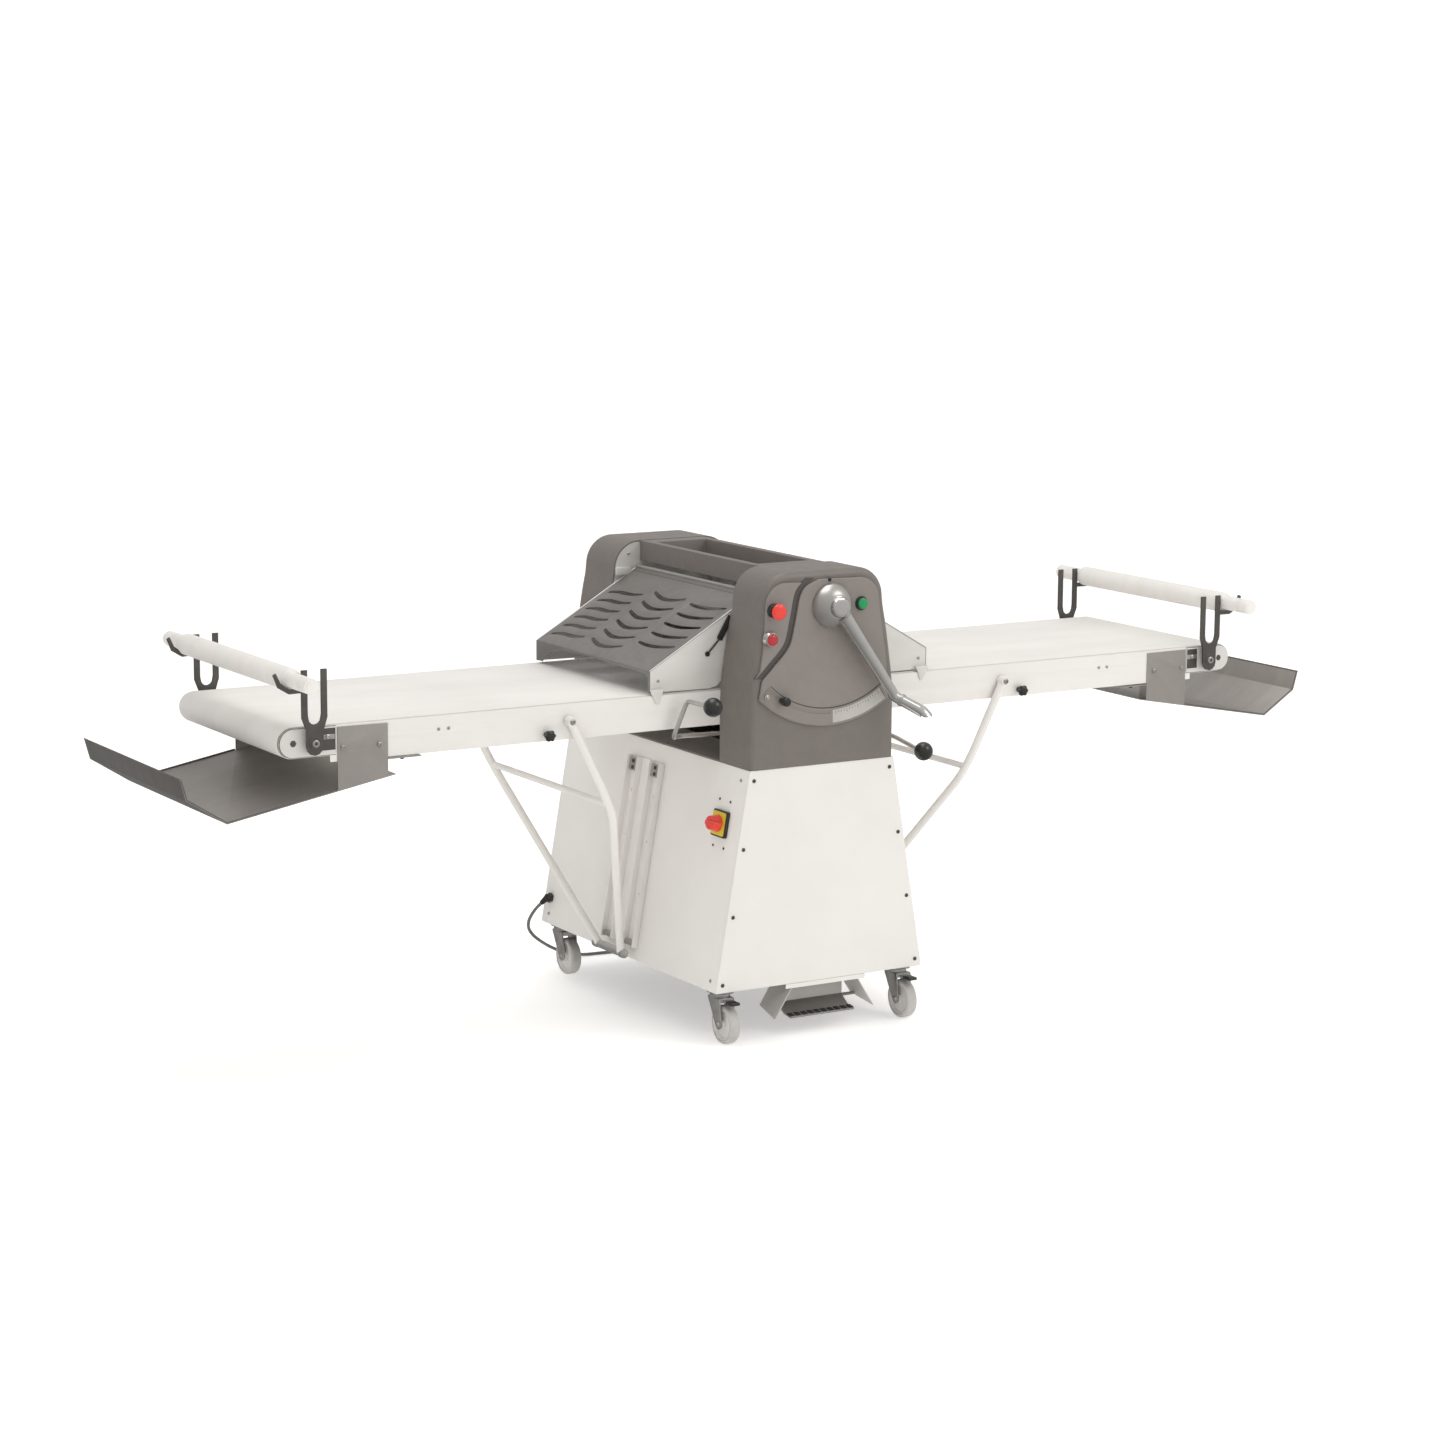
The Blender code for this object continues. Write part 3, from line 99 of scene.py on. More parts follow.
def noise(nt, coord, scale, stretch=(1, 1, 1), detail=4.0, rough=0.55):
    mp = nt.nodes.new("ShaderNodeMapping")
    mp.inputs["Scale"].default_value = stretch
    nt.links.new(coord.outputs["Object"], mp.inputs["Vector"])
    n = nt.nodes.new("ShaderNodeTexNoise")
    n.inputs["Scale"].default_value = scale
    n.inputs["Detail"].default_value = detail
    n.inputs["Roughness"].default_value = rough
    nt.links.new(mp.outputs["Vector"], n.inputs["Vector"])
    return n.outputs["Fac"]


def ramp(nt, fac, c0, c1, p0=0.3, p1=0.7):
    r = nt.nodes.new("ShaderNodeValToRGB")
    r.color_ramp.elements[0].position = p0
    r.color_ramp.elements[1].position = p1
    r.color_ramp.elements[0].color = (*c0, 1)
    r.color_ramp.elements[1].color = (*c1, 1)
    nt.links.new(fac, r.inputs["Fac"])
    return r.outputs["Color"]


def spread(nt, fac, lo, hi):
    r = nt.nodes.new("ShaderNodeMapRange")
    r.inputs["From Min"].default_value = 0.3
    r.inputs["From Max"].default_value = 0.7
    r.inputs["To Min"].default_value = lo
    r.inputs["To Max"].default_value = hi
    nt.links.new(fac, r.inputs["Value"])
    return r.outputs["Result"]


def bump(nt, bsdf, height, strength, distance, under=None):
    b = nt.nodes.new("ShaderNodeBump")
    b.inputs["Strength"].default_value = strength
    b.inputs["Distance"].default_value = distance
    nt.links.new(height, b.inputs["Height"])
    if under:
        nt.links.new(under.outputs["Normal"], b.inputs["Normal"])
    nt.links.new(b.outputs["Normal"], bsdf.inputs["Normal"])
    return b


def surface(name, base, rough, metal=0.0, var=0.03, scale=6.0, stretch=(1, 1, 1), rvar=0.05,
            grain=700.0, gstretch=(1, 1, 1), strength=0.15, distance=0.0003, coat=0.0, ior=1.5, sheen=0.0, dust=0.0, sss=0.0):
    """A finish with slow colour drift, uneven gloss and a fine surface grain."""
    mat, nt, bsdf, coord = node_material(name)
    slow = noise(nt, coord, scale, stretch)
    lo = [max(0, c * (1 - var)) for c in base]
    hi = [min(1, c * (1 + var)) for c in base]
    col = ramp(nt, slow, lo, hi)
    if dust:
        fine = noise(nt, coord, 38.0, detail=8.0, rough=0.7)
        mix = nt.nodes.new("ShaderNodeMix")
        mix.data_type = "RGBA"
        mask = spread(nt, fine, 0.0, dust)
        nt.links.new(mask, mix.inputs["Factor"])
        nt.links.new(col, mix.inputs["A"])
        mix.inputs["B"].default_value = (0.75, 0.73, 0.70, 1)
        col = mix.outputs["Result"]
    nt.links.new(col, bsdf.inputs["Base Color"])
    uneven = noise(nt, coord, scale * 5 + 11, stretch, 6.0)
    nt.links.new(spread(nt, uneven, max(0.02, rough - rvar), min(1, rough + rvar)), bsdf.inputs["Roughness"])
    bsdf.inputs["Metallic"].default_value = metal
    bsdf.inputs["IOR"].default_value = ior
    if coat:
        bsdf.inputs["Coat Weight"].default_value = coat
        bsdf.inputs["Coat Roughness"].default_value = 0.12
    if sheen:
        bsdf.inputs["Sheen Weight"].default_value = sheen
    if sss:
        bsdf.inputs["Subsurface Weight"].default_value = sss
        bsdf.inputs["Subsurface Scale"].default_value = 0.004
    bump(nt, bsdf, noise(nt, coord, grain, gstretch, 3.0), strength, distance)
    return mat


def belt_cloth():
    """Coated woven conveyor cloth: a fine plain weave under a thin coat, slightly floured."""
    mat, nt, bsdf, coord = node_material("belt_cloth")
    slow = noise(nt, coord, 3.0, (1, 2.2, 1), 6.0)
    nt.links.new(ramp(nt, slow, (0.755, 0.735, 0.705), (0.83, 0.81, 0.78)), bsdf.inputs["Base Color"])
    waves = []
    for direction in ("X", "Y"):
        w = nt.nodes.new("ShaderNodeTexWave")
        w.wave_type = "BANDS"
        w.bands_direction = direction
        w.inputs["Scale"].default_value = 150.0
        w.inputs["Distortion"].default_value = 0.6
        w.inputs["Detail"].default_value = 1.0
        nt.links.new(coord.outputs["Object"], w.inputs["Vector"])
        waves.append(w)
    mul = nt.nodes.new("ShaderNodeMath")
    mul.operation = "MULTIPLY"
    nt.links.new(waves[0].outputs["Fac"], mul.inputs[0])
    nt.links.new(waves[1].outputs["Fac"], mul.inputs[1])
    bump(nt, bsdf, mul.outputs["Value"], 0.35, 0.0004)
    gloss = noise(nt, coord, 22.0, detail=6.0)
    nt.links.new(spread(nt, gloss, 0.55, 0.75), bsdf.inputs["Roughness"])
    bsdf.inputs["Sheen Weight"].default_value = 0.15
    return mat


M = {
    "white": surface("white_coat", (0.79, 0.766, 0.738), 0.42, var=0.02, grain=900, strength=0.10, distance=0.0002, rvar=0.06),
    "grey": surface("grey_coat", (0.172, 0.152, 0.139), 0.46, var=0.04, scale=4.0, grain=1100, strength=0.22, distance=0.0002, dust=0.03),
    "field": surface("grey_field", (0.232, 0.206, 0.190), 0.40, var=0.04, scale=5.0, grain=1100, strength=0.18, distance=0.0002, dust=0.03),
    "groove": surface("groove_paint", (0.085, 0.077, 0.071), 0.6, var=0.08, grain=900, strength=0.15),
    "guard": surface("guard_coat", (0.215, 0.203, 0.193), 0.36, metal=0.40, var=0.10, scale=7.0, grain=900, strength=0.2, dust=0.06),
    "tray": surface("tray_steel", (0.335, 0.312, 0.292), 0.38, metal=0.42, var=0.07, scale=3.0, stretch=(1, 5, 1), grain=420,
                    gstretch=(1, 14, 1), strength=0.10, distance=0.0002, dust=0.05),
    # darker copy of the tray steel: painted shade on the tray's outward and downward faces, its hems and its rim
    "tray_painted_shade": surface("tray_steel_painted_shade", (0.150, 0.139, 0.130), 0.40, metal=0.35, var=0.06, scale=3.0, stretch=(1, 5, 1), grain=420, strength=0.10),
    "pedal": surface("pedal_plate", (0.30, 0.283, 0.265), 0.40, metal=0.35, var=0.06, scale=9.0, grain=500, strength=0.12),
    "hood": surface("pedal_hood_coat", (0.60, 0.58, 0.555), 0.42, metal=0.15, var=0.03, scale=9.0, grain=900, strength=0.12, distance=0.0002),
    "dark": surface("dark_steel", (0.115, 0.108, 0.100), 0.42, metal=0.55, var=0.12, scale=14, grain=600, strength=0.2),
    "steel": surface("steel", (0.60, 0.585, 0.565), 0.34, metal=0.9, var=0.06, scale=5.0, stretch=(1, 6, 1), grain=300, gstretch=(1, 22, 1),
                     strength=0.08, distance=0.0002),
    "zinc": surface("zinc_plate", (0.52, 0.51, 0.49), 0.38, metal=0.85, var=0.15, scale=40.0, grain=260, strength=0.12, distance=0.0002),
    "liner": surface("liner_sheet", (0.74, 0.72, 0.69), 0.40, metal=0.25, var=0.04, scale=4.0, stretch=(1, 1, 5), grain=350, gstretch=(1, 1, 16),
                     strength=0.06, distance=0.0002),
    "cast": surface("cast_alloy", (0.50, 0.485, 0.465), 0.33, metal=0.85, var=0.06, scale=20, grain=520, strength=0.14, distance=0.0002),
    "polish": surface("polished_alloy", (0.70, 0.69, 0.67), 0.16, metal=1.0, var=0.03, scale=25, grain=500, strength=0.05, rvar=0.04),
    "chrome": surface("roll_chrome", (0.72, 0.72, 0.72), 0.14, metal=1.0, var=0.02, scale=12, stretch=(1, 8, 1), grain=240, gstretch=(1, 30, 1), strength=0.04, rvar=0.04),
    "nylon": surface("white_nylon", (0.83, 0.805, 0.77), 0.45, var=0.025, scale=9, stretch=(1, 3, 1), grain=300, gstretch=(3, 1, 3), strength=0.12, sss=0.12),
    "black": surface("black_plastic", (0.018, 0.018, 0.018), 0.30, var=0.2, scale=30, grain=900, strength=0.12, coat=0.3),
    "rubber": surface("black_rubber", (0.03, 0.03, 0.03), 0.75, var=0.15, scale=30, grain=700, strength=0.3),
    "red": surface("red_button", (0.80, 0.045, 0.03), 0.34, var=0.05, scale=30, grain=900, strength=0.06, coat=0.4),
    "lamp": surface("lamp_lens", (0.42, 0.025, 0.03), 0.22, var=0.12, scale=60, grain=340, strength=0.35, coat=0.6),
    "green": surface("green_button", (0.005, 0.29, 0.09), 0.34, var=0.06, scale=30, grain=900, strength=0.06, coat=0.4),
    "yellow": surface("yellow_plastic", (0.72, 0.56, 0.03), 0.45, var=0.05, scale=25, grain=900, strength=0.1),
    "label": surface("scale_label", (0.55, 0.53, 0.50), 0.40, metal=0.3, var=0.05, scale=30, grain=500, strength=0.06),
    "tread": surface("wheel_tread", (0.50, 0.485, 0.465), 0.68, var=0.10, scale=25, grain=480, strength=0.3),
    "hub": surface("wheel_hub", (0.64, 0.62, 0.60), 0.50, var=0.08, scale=25, grain=600, strength=0.15),
    "sheath": surface("cable_sheath", (0.16, 0.16, 0.16), 0.55, var=0.12, scale=40, grain=500, strength=0.2),
    # near-black finish: the painted shade inside the scale slot, and the printed scale ticks
    "inside": surface("inner_shadow", (0.06, 0.055, 0.05), 0.7, var=0.1, scale=10, grain=600, strength=0.2),
    "belt": belt_cloth(),
}


# ------------------------------------------------------------------ shape makers
def smooth(me, angle=32):
    me.shade_smooth()
    me.set_sharp_from_angle(angle=radians(angle))


def seat(obj, mat, body, replaces=()):
    obj.data.materials.clear()
    obj.data.materials.append(M[mat])
    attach(obj, body)
    if replaces:
        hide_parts(*([replaces] if isinstance(replaces, str) else replaces))
    return obj


def add(name, me):
    o = bpy.data.objects.new(name, me)
    scene.collection.objects.link(o)
    return o


def outwards(bm):
    bm.normal_update()
    bmesh.ops.recalc_face_normals(bm, faces=bm.faces)
    if bm.calc_volume(signed=True) < 0:
        bmesh.ops.reverse_faces(bm, faces=bm.faces)


def body_of(node):
    return NODES[node]["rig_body"]


def freeze(o):
    """Applies the modifiers of an object."""
    bpy.context.view_layer.update()
    ev = o.evaluated_get(bpy.context.evaluated_depsgraph_get())
    me = bpy.data.meshes.new_from_object(ev)
    o.modifiers.clear()
    o.data = me
    return o


def soften(o, width, segs=2, angle=35):
    if width:
        b = o.modifiers.new("edge", "BEVEL")
        b.width = width
        b.segments = segs
        b.limit_method = "ANGLE"
        b.angle_limit = radians(angle)
        b.use_clamp_overlap = True
        b.harden_normals = False
        freeze(o)
    smooth(o.data)
    return o


def refine(node, mat, width=0.0006, segs=2, name=None):
    """The node's own shape with welded faces and softened edges, in its finish."""
    bm = bmesh.new()
    bm.from_mesh(NODES[node].data)
    bmesh.ops.remove_doubles(bm, verts=bm.verts, dist=1e-5)
    bmesh.ops.dissolve_limit(bm, angle_limit=radians(0.6), verts=bm.verts, edges=bm.edges)
    me = bpy.data.meshes.new(name or node + "_finish")
    bm.to_mesh(me)
    bm.free()
    o = add(name or node + "_finish", me)
    soften(o, width, segs)
    return seat(o, mat, body_of(node), node)


def turned(name, profile, centre, axis, mat, body, segs=48, replaces=(), lobes=0, depth=0.0, gather=None):
    """A turned piece: (radius, height) pairs along an axis, from top to bottom, ends closed on the axis."""
    axis = Vector(axis).normalized()
    q = axis.to_track_quat("Z", "Y").to_matrix()
    bm = gather or bmesh.new()
    rings = []
    for r, h in profile:
        if r <= 1e-7:
            rings.append([bm.verts.new(Vector(centre) + q @ Vector((0, 0, h)))])
        else:
            ring = []
            for k in range(segs):
                a = 2 * pi * k / segs
                rr = r * (1 + depth * cos(lobes * a)) if lobes else r
                ring.append(bm.verts.new(Vector(centre) + q @ Vector((rr * cos(a), rr * sin(a), h))))
            rings.append(ring)
    for A, B in zip(rings, rings[1:]):
        n = max(len(A), len(B))
        for k in range(n):
            j = (k + 1) % n
            if len(A) == 1:
                bm.faces.new((A[0], B[k], B[j]))
            elif len(B) == 1:
                bm.faces.new((A[k], A[j], B[0]))
            else:
                bm.faces.new((A[k], A[j], B[j], B[k]))
    if gather:
        return None
    outwards(bm)
    me = bpy.data.meshes.new(name)
    bm.to_mesh(me)
    bm.free()
    smooth(me)
    return seat(add(name, me), mat, body, replaces)


def screws(name, items, mat, body, replaces=(), segs=20):
    """Dome screws with a round socket: (point, direction, radius, height)."""
    bm = bmesh.new()
    for p, d, r, h in items:
        prof = [(0, h * 0.35), (r * 0.36, h * 0.35), (r * 0.44, h * 0.97), (r * 0.62, h), (r * 0.86, h * 0.75), (r, h * 0.3), (r, -0.0004), (0, -0.0004)]
        turned("s", prof, p, d, mat, body, segs, gather=bm)
    outwards(bm)
    me = bpy.data.meshes.new(name)
    bm.to_mesh(me)
    bm.free()
    smooth(me)
    return seat(add(name, me), mat, body, replaces)


AX = {"XZ": Matrix(((1, 0, 0, 0), (0, 0, -1, 0), (0, 1, 0, 0), (0, 0, 0, 1))),
      "YZ": Matrix(((0, 0, 1, 0), (1, 0, 0, 0), (0, 1, 0, 0), (0, 0, 0, 1))), "XY": Matrix.Identity(4)}


def prism(name, loops, plane, lo, hi, mat, body, width=0.0004, segs=2, replaces=(), place=None, shift=True):
    """A flat outline with holes, given a thickness and soft edges. place maps it from its own frame."""
    cu = bpy.data.curves.new(name, "CURVE")
    cu.dimensions = "2D"
    cu.fill_mode = "BOTH"
    cu.extrude = (hi - lo) / 2
    for loop in loops:
        sp = cu.splines.new("POLY")
        sp.points.add(len(loop) - 1)
        for p, (a, b) in zip(sp.points, loop):
            p.co = (a, b, 0, 1)
        sp.use_cyclic_u = True
    tmp = add(name + "_c", cu)
    bpy.context.view_layer.update()
    me = bpy.data.meshes.new_from_object(tmp.evaluated_get(bpy.context.evaluated_depsgraph_get()))
    bpy.data.objects.remove(tmp)
    mid = (lo + hi) / 2
    off = {"XZ": (0, mid, 0), "YZ": (mid, 0, 0), "XY": (0, 0, mid)}[plane]
    me.transform(Matrix.Translation(off) @ AX[plane])
    bm = bmesh.new()
    bm.from_mesh(me)
    bmesh.ops.remove_doubles(bm, verts=bm.verts, dist=1e-6)
    bmesh.ops.dissolve_limit(bm, angle_limit=radians(0.3), verts=bm.verts, edges=bm.edges)
    if place is not None:
        bm.transform(place)
    if shift:
        bmesh.ops.translate(bm, vec=(0, YS, 0), verts=bm.verts)
    outwards(bm)
    bm.to_mesh(me)
    bm.free()
    me.name = name
    return seat(soften(add(name, me), width, segs, 50), mat, body, replaces)


def block(name, lo, hi, mat, body, width=0.0008, segs=2, place=None, replaces=(), shift=True):
    (x0, y0, z0), (x1, y1, z1) = lo, hi
    return prism(name, [[(x0, y0), (x1, y0), (x1, y1), (x0, y1)]], "XY", z0, z1, mat, body, width, segs, replaces, place, shift)


def rod(name, pts, radius, mat, body, replaces=(), res=5, radii=None, shift=True):
    """A round bar along a path, with closed ends, as a mesh."""
    cu = bpy.data.curves.new(name, "CURVE")
    cu.dimensions = "3D"
    cu.bevel_depth = radius
    cu.bevel_resolution = res
    cu.use_fill_caps = True
    sp = cu.splines.new("POLY")
    sp.points.add(len(pts) - 1)
    for k, (p, co) in enumerate(zip(sp.points, pts)):
        p.co = (co[0], co[1] + (YS if shift else 0), co[2], 1)
        p.radius = radii[k] / radius if radii else 1.0
    tmp = add(name + "_c", cu)
    bpy.context.view_layer.update()
    me = bpy.data.meshes.new_from_object(tmp.evaluated_get(bpy.context.evaluated_depsgraph_get()))
    bpy.data.objects.remove(tmp)
    bm = bmesh.new()
    bm.from_mesh(me)
    bmesh.ops.remove_doubles(bm, verts=bm.verts, dist=1e-6)
    outwards(bm)
    bm.to_mesh(me)
    bm.free()
    me.name = name
    o = add(name, me)
    smooth(me, 40)
    return seat(o, mat, body, replaces)


def rounded_path(points, radius, steps=8):
    pts = [Vector(p) for p in points]
    out = [pts[0]]
    for a, b, c in zip(pts, pts[1:], pts[2:]):
        u, v = (a - b).normalized(), (c - b).normalized()
        cut = min(radius, (a - b).length * 0.45, (c - b).length * 0.45)
        p, q = b + u * cut, b + v * cut
        for i in range(steps + 1):
            t = i / steps
            out.append(p * (1 - t) ** 2 + b * 2 * t * (1 - t) + q * t * t)
    out.append(pts[-1])
    return [tuple(p) for p in out]


def arc(cx, cz, r, a0, a1, n):
    return [(cx + r * cos(radians(a0 + (a1 - a0) * i / n)), cz + r * sin(radians(a0 + (a1 - a0) * i / n))) for i in range(n + 1)]


def catmull(points, n):
    pts = [Vector(p) for p in points]
    pts = [pts[0] * 2 - pts[1]] + pts + [pts[-1] * 2 - pts[-2]]
    segs = len(pts) - 3
    out = []
    for i in range(n + 1):
        t = i / n * segs
        k = min(int(t), segs - 1)
        f = t - k
        a, b, c, d = pts[k:k + 4]
        out.append(0.5 * ((2 * b) + (c - a) * f + (2 * a - 5 * b + 4 * c - d) * f * f + (3 * b - a - 3 * c + d) * f ** 3))
    return out


def flip(points, side):
    return [(side * a, b) for a, b in points]


# ------------------------------------------------------------------ cord, gland and plug
CORD_D = 0.009
ROUTE = [(-0.3266, 0.4563, 0.1927), (-0.3360, 0.4640, 0.1800), (-0.3440, 0.4770, 0.1600), (-0.3450, 0.4940, 0.1370), (-0.3360, 0.5115, 0.1130),
         (-0.3160, 0.5265, 0.0890), (-0.2870, 0.5370, 0.0660), (-0.2530, 0.5440, 0.0440), (-0.2150, 0.5480, 0.0250), (-0.1750, 0.5500, 0.0115),
         (-0.1350, 0.5500, 0.0060), (-0.0900, 0.5480, 0.0049), (-0.0300, 0.5400, 0.0049), (0.0300, 0.5310, 0.0049), (0.0900, 0.5247, 0.0049), (0.1500, 0.5236, 0.0049)]
COIL_X, COIL_Y = 0.150, 0.5995
PLUG_Y, PLUG_Z, TAIL_X = 0.5332, 0.0235, 0.1960
line = [Vector(p) for p in catmull(ROUTE, 92)]
PITCH, STEPS = 0.0093, 48


def coil_r(t):
    """Radius of the wound cord after t turns: three turns inwards, then three outwards on top of them."""
    if t < 1:
        return 0.0759 - 0.0189 * t
    if t < 3:
        return 0.0570 - PITCH * (t - 1)
    return 0.0384 + PITCH * (t - 3)


for k in range(1, 6 * STEPS + 1):
    t = k / STEPS
    r = coil_r(t)
    w = min(max((t - 2.84) / 0.32, 0), 1)
    z = 0.0049 + PITCH * w * w * (3 - 2 * w)
    a = radians(-90) + 2 * pi * t
    line.append(Vector((COIL_X + r * cos(a), COIL_Y + r * sin(a), z)))
start = line[-1].copy()
for k in range(1, 13):
    f = k / 12
    s = f * f * (3 - 2 * f)
    line.append(Vector((start.x + (TAIL_X + 0.002 - start.x) * f, start.y + (PLUG_Y - start.y) * s, start.z + (PLUG_Z - start.z) * s)))
cu = bpy.data.curves.new("mains_lead", "CURVE")
cu.dimensions = "3D"
cu.bevel_depth = CORD_D / 2
cu.bevel_resolution = 3
cu.use_fill_caps = True
sp = cu.splines.new("POLY")
sp.points.add(len(line) - 1)
for p, co in zip(sp.points, line):
    p.co = (co.x, co.y + YS, co.z, 1)
sp.use_smooth = True
lead = add("mains_lead", cu)
lead.data.materials.append(M["sheath"])
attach(lead, "machine")
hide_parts("power_cord", "cord_coil")

# plug: moulded body with grip ribs, tapered tail and two pins
pc = P(TAIL_X, PLUG_Y, PLUG_Z)
prof = [(0, 0.0), (0.0062, 0.0), (0.0072, 0.0015)]
for k in range(5):
    h = 0.003 + 0.005 * k
    r = 0.0074 + 0.0009 * k
    prof += [(r, h), (r, h + 0.0028), (r - 0.0012, h + 0.0034), (r - 0.0010, h + 0.0046)]
prof += [(0.0130, 0.0290), (0.0190, 0.0315), (0.0222, 0.0360), (0.0225, 0.0420)]
for k in range(4):
    h = 0.0440 + 0.006 * k
    prof += [(0.0225, h), (0.0214, h + 0.0012), (0.0214, h + 0.0026), (0.0225, h + 0.0038)]
prof += [(0.0225, 0.0780), (0.0210, 0.0815), (0, 0.0820)]
plug = turned("mains_plug_body", prof, pc, (1, 0, 0), "rubber", "machine", 40, replaces="mains_plug")
for k, dz in enumerate((0.0095, -0.0095)):
    turned(f"mains_plug_pin_{k}", [(0, 0.1000), (0.0018, 0.0995), (0.0024, 0.0975), (0.0024, 0.080), (0, 0.080)],
           pc + Vector((0, 0, dz)), (1, 0, 0), "polish", "machine", 20).parent = plug

# ------------------------------------------------------------------ stage
def stage_mesh(name, verts, faces, mat):
    me = bpy.data.meshes.new(name)
    me.from_pydata(verts, [], faces)
    me.materials.append(mat)
    o = add(name, me)
    for p in me.polygons:
        p.use_smooth = True
    return o


def backdrop():
    """A pale floor that curves up far behind the machine."""
    prof = [(-70.0, 16.0), (-70.0, 0.0), (-14.0, 0.0), (10.0, 0.0)] + [(10.0 + 6 * sin(radians(a)), 6 - 6 * cos(radians(a))) for a in range(6, 91, 6)] + [(16.0, 16.0)]
    across, along = Vector((0.857, -0.515, 0)), Vector((0.515, 0.857, 0))
    verts, faces = [], []
    for d, z in prof:
        for s in (-60, 60):
            v = across * s + along * d
            verts.append((v.x, v.y, z))
    for k in range(len(prof) - 1):
        faces.append((2 * k, 2 * k + 1, 2 * k + 3, 2 * k + 2))
    for s in (-60, 60):                          # low side walls
        k = len(verts)
        for d, z in ((-70.0, 0.0), (16.0, 0.0), (16.0, 16.0), (-70.0, 16.0)):
            v = across * s + along * d
            verts.append((v.x, v.y, z))
        faces.append((k, k + 1, k + 2, k + 3))
    return stage_mesh("studio_floor", verts, faces, FLOOR)


FLOOR = surface("studio_paper", (0.90, 0.895, 0.885), 0.8, var=0.004, scale=0.6, grain=60, strength=0.02)
FLOOR.node_tree.nodes["Principled BSDF"].inputs["Emission Color"].default_value = (1.0, 0.995, 0.985, 1)
FLOOR.node_tree.nodes["Principled BSDF"].inputs["Emission Strength"].default_value = 0.40
sweep = backdrop()
sweep.visible_glossy = False

# a soft dome, brightest above and to the right of the front
world = bpy.data.worlds.new("studio")
scene.world = world
world.use_nodes = True
wn = world.node_tree.nodes
wn["Background"].inputs["Color"].default_value = (1.0, 0.99, 0.975, 1)
sky = wn.new("ShaderNodeTexCoord")
facing = wn.new("ShaderNodeVectorMath")
facing.operation = "DOT_PRODUCT"
facing.inputs[1].default_value = tuple(Vector((0.34, -0.34, 0.88)).normalized())
fall = wn.new("ShaderNodeMapRange")
fall.inputs["From Min"].default_value = -1.0
fall.inputs["From Max"].default_value = 1.0
fall.inputs["To Min"].default_value = 0.20
fall.inputs["To Max"].default_value = 0.72
world.node_tree.links.new(sky.outputs["Generated"], facing.inputs[0])
world.node_tree.links.new(facing.outputs["Value"], fall.inputs["Value"])
world.node_tree.links.new(fall.outputs["Result"], wn["Background"].inputs["Strength"])
scene.view_settings.view_transform = "Standard"
scene.view_settings.look = "None"
scene.view_settings.exposure = 0.0


def area(name, loc, target, size, power, color=(1, 1, 1)):
    d = bpy.data.lights.new(name, "AREA")
    d.shape = "RECTANGLE"
    d.size, d.size_y = size
    d.energy = power
    d.color = color
    o = bpy.data.objects.new(name, d)
    o.location = loc
    o.rotation_euler = (Vector(target) - Vector(loc)).to_track_quat("-Z", "Y").to_euler()
    scene.collection.objects.link(o)


area("key_light", (3.2, -4.5, 5.0), (0, 0, 0.7), (3.0, 3.0), 84, (1.0, 0.985, 0.96))
area("top_light", (-0.5, 0.4, 5.5), (0, 0, 0.6), (4.5, 3.0), 95, (1.0, 0.99, 0.975))
# ------------------------------------------------------------------ cabinet
CAB_Z0, CAB_Z1, CAB_W0, CAB_W1 = 0.138, 0.7026, 0.313, 0.2167
YF, YR = -0.459, 0.480
TAPER = (CAB_W0 - CAB_W1) / (CAB_Z1 - CAB_Z0)
LEAN = atan(TAPER)


def xs(z):
    return CAB_W1 + (CAB_Z1 - z) * TAPER


refine("cabinet_shell", "white", 0.0007)
prism("front_panel_sheet", [[(-CAB_W0, CAB_Z0), (CAB_W0, CAB_Z0), (CAB_W1, CAB_Z1), (-CAB_W1, CAB_Z1)]], "XZ", YF, YF + 0.002,
      "white", "machine", 0.0007, 3, replaces="front_panel")
screws("front_panel_screws", [(P(s * (xs(z) - 0.0165), YF, z), (0, -1, 0), 0.0052, 0.0026) for z in (0.158, 0.331, 0.503, 0.677) for s in (-1, 1)],
       "dark", "machine")
# rear service cover with two columns of vent slots, and the screws of the rear sheet
def cover_edge(z, inset):
    return CAB_W1 + (CAB_Z1 - z) * TAPER - inset


z_lo, z_hi = 0.215, 0.640
cover = [(-cover_edge(z_lo, 0.050), z_lo), (cover_edge(z_lo, 0.050), z_lo), (cover_edge(z_hi, 0.050), z_hi), (-cover_edge(z_hi, 0.050), z_hi)]
vents = []
for col in (-0.075, 0.075):
    for k in range(7):
        z = 0.262 + k * 0.016
        vents.append(arc(col + 0.048, z, 0.0026, -90, 90, 8) + arc(col - 0.048, z, 0.0026, 90, 270, 8))
prism("rear_cover", [cover] + vents, "XZ", YR + 0.0006, YR + 0.0020, "white", "machine", 0.0004, 2)
prism("rear_cover_joint", [[(x * 1.006, z + (0.0016 if z > 0.4 else -0.0016)) for x, z in cover]], "XZ", YR + 0.0001, YR + 0.0005, "groove", "machine", 0.0)
screws("rear_cover_screws", [(P(s * (cover_edge(z, 0.062)), YR + 0.0020, z), (0, 1, 0), 0.0048, 0.0024) for z in (0.235, 0.428, 0.620) for s in (-1, 1)], "dark", "machine")
screws("rear_sheet_screws", [(P(s * (cover_edge(z, 0.0165)), YR, z), (0, 1, 0), 0.0048, 0.0024) for z in (0.158, 0.677) for s in (-1, 1)], "dark", "machine")
screws("rear_cheek_screws", [(P(s * x, 0.478, z), (0, 1, 0), 0.0052, 0.0026) for x, z in ((0.180, 0.730), (0.178, 0.900)) for s in (-1, 1)], "dark", "machine")
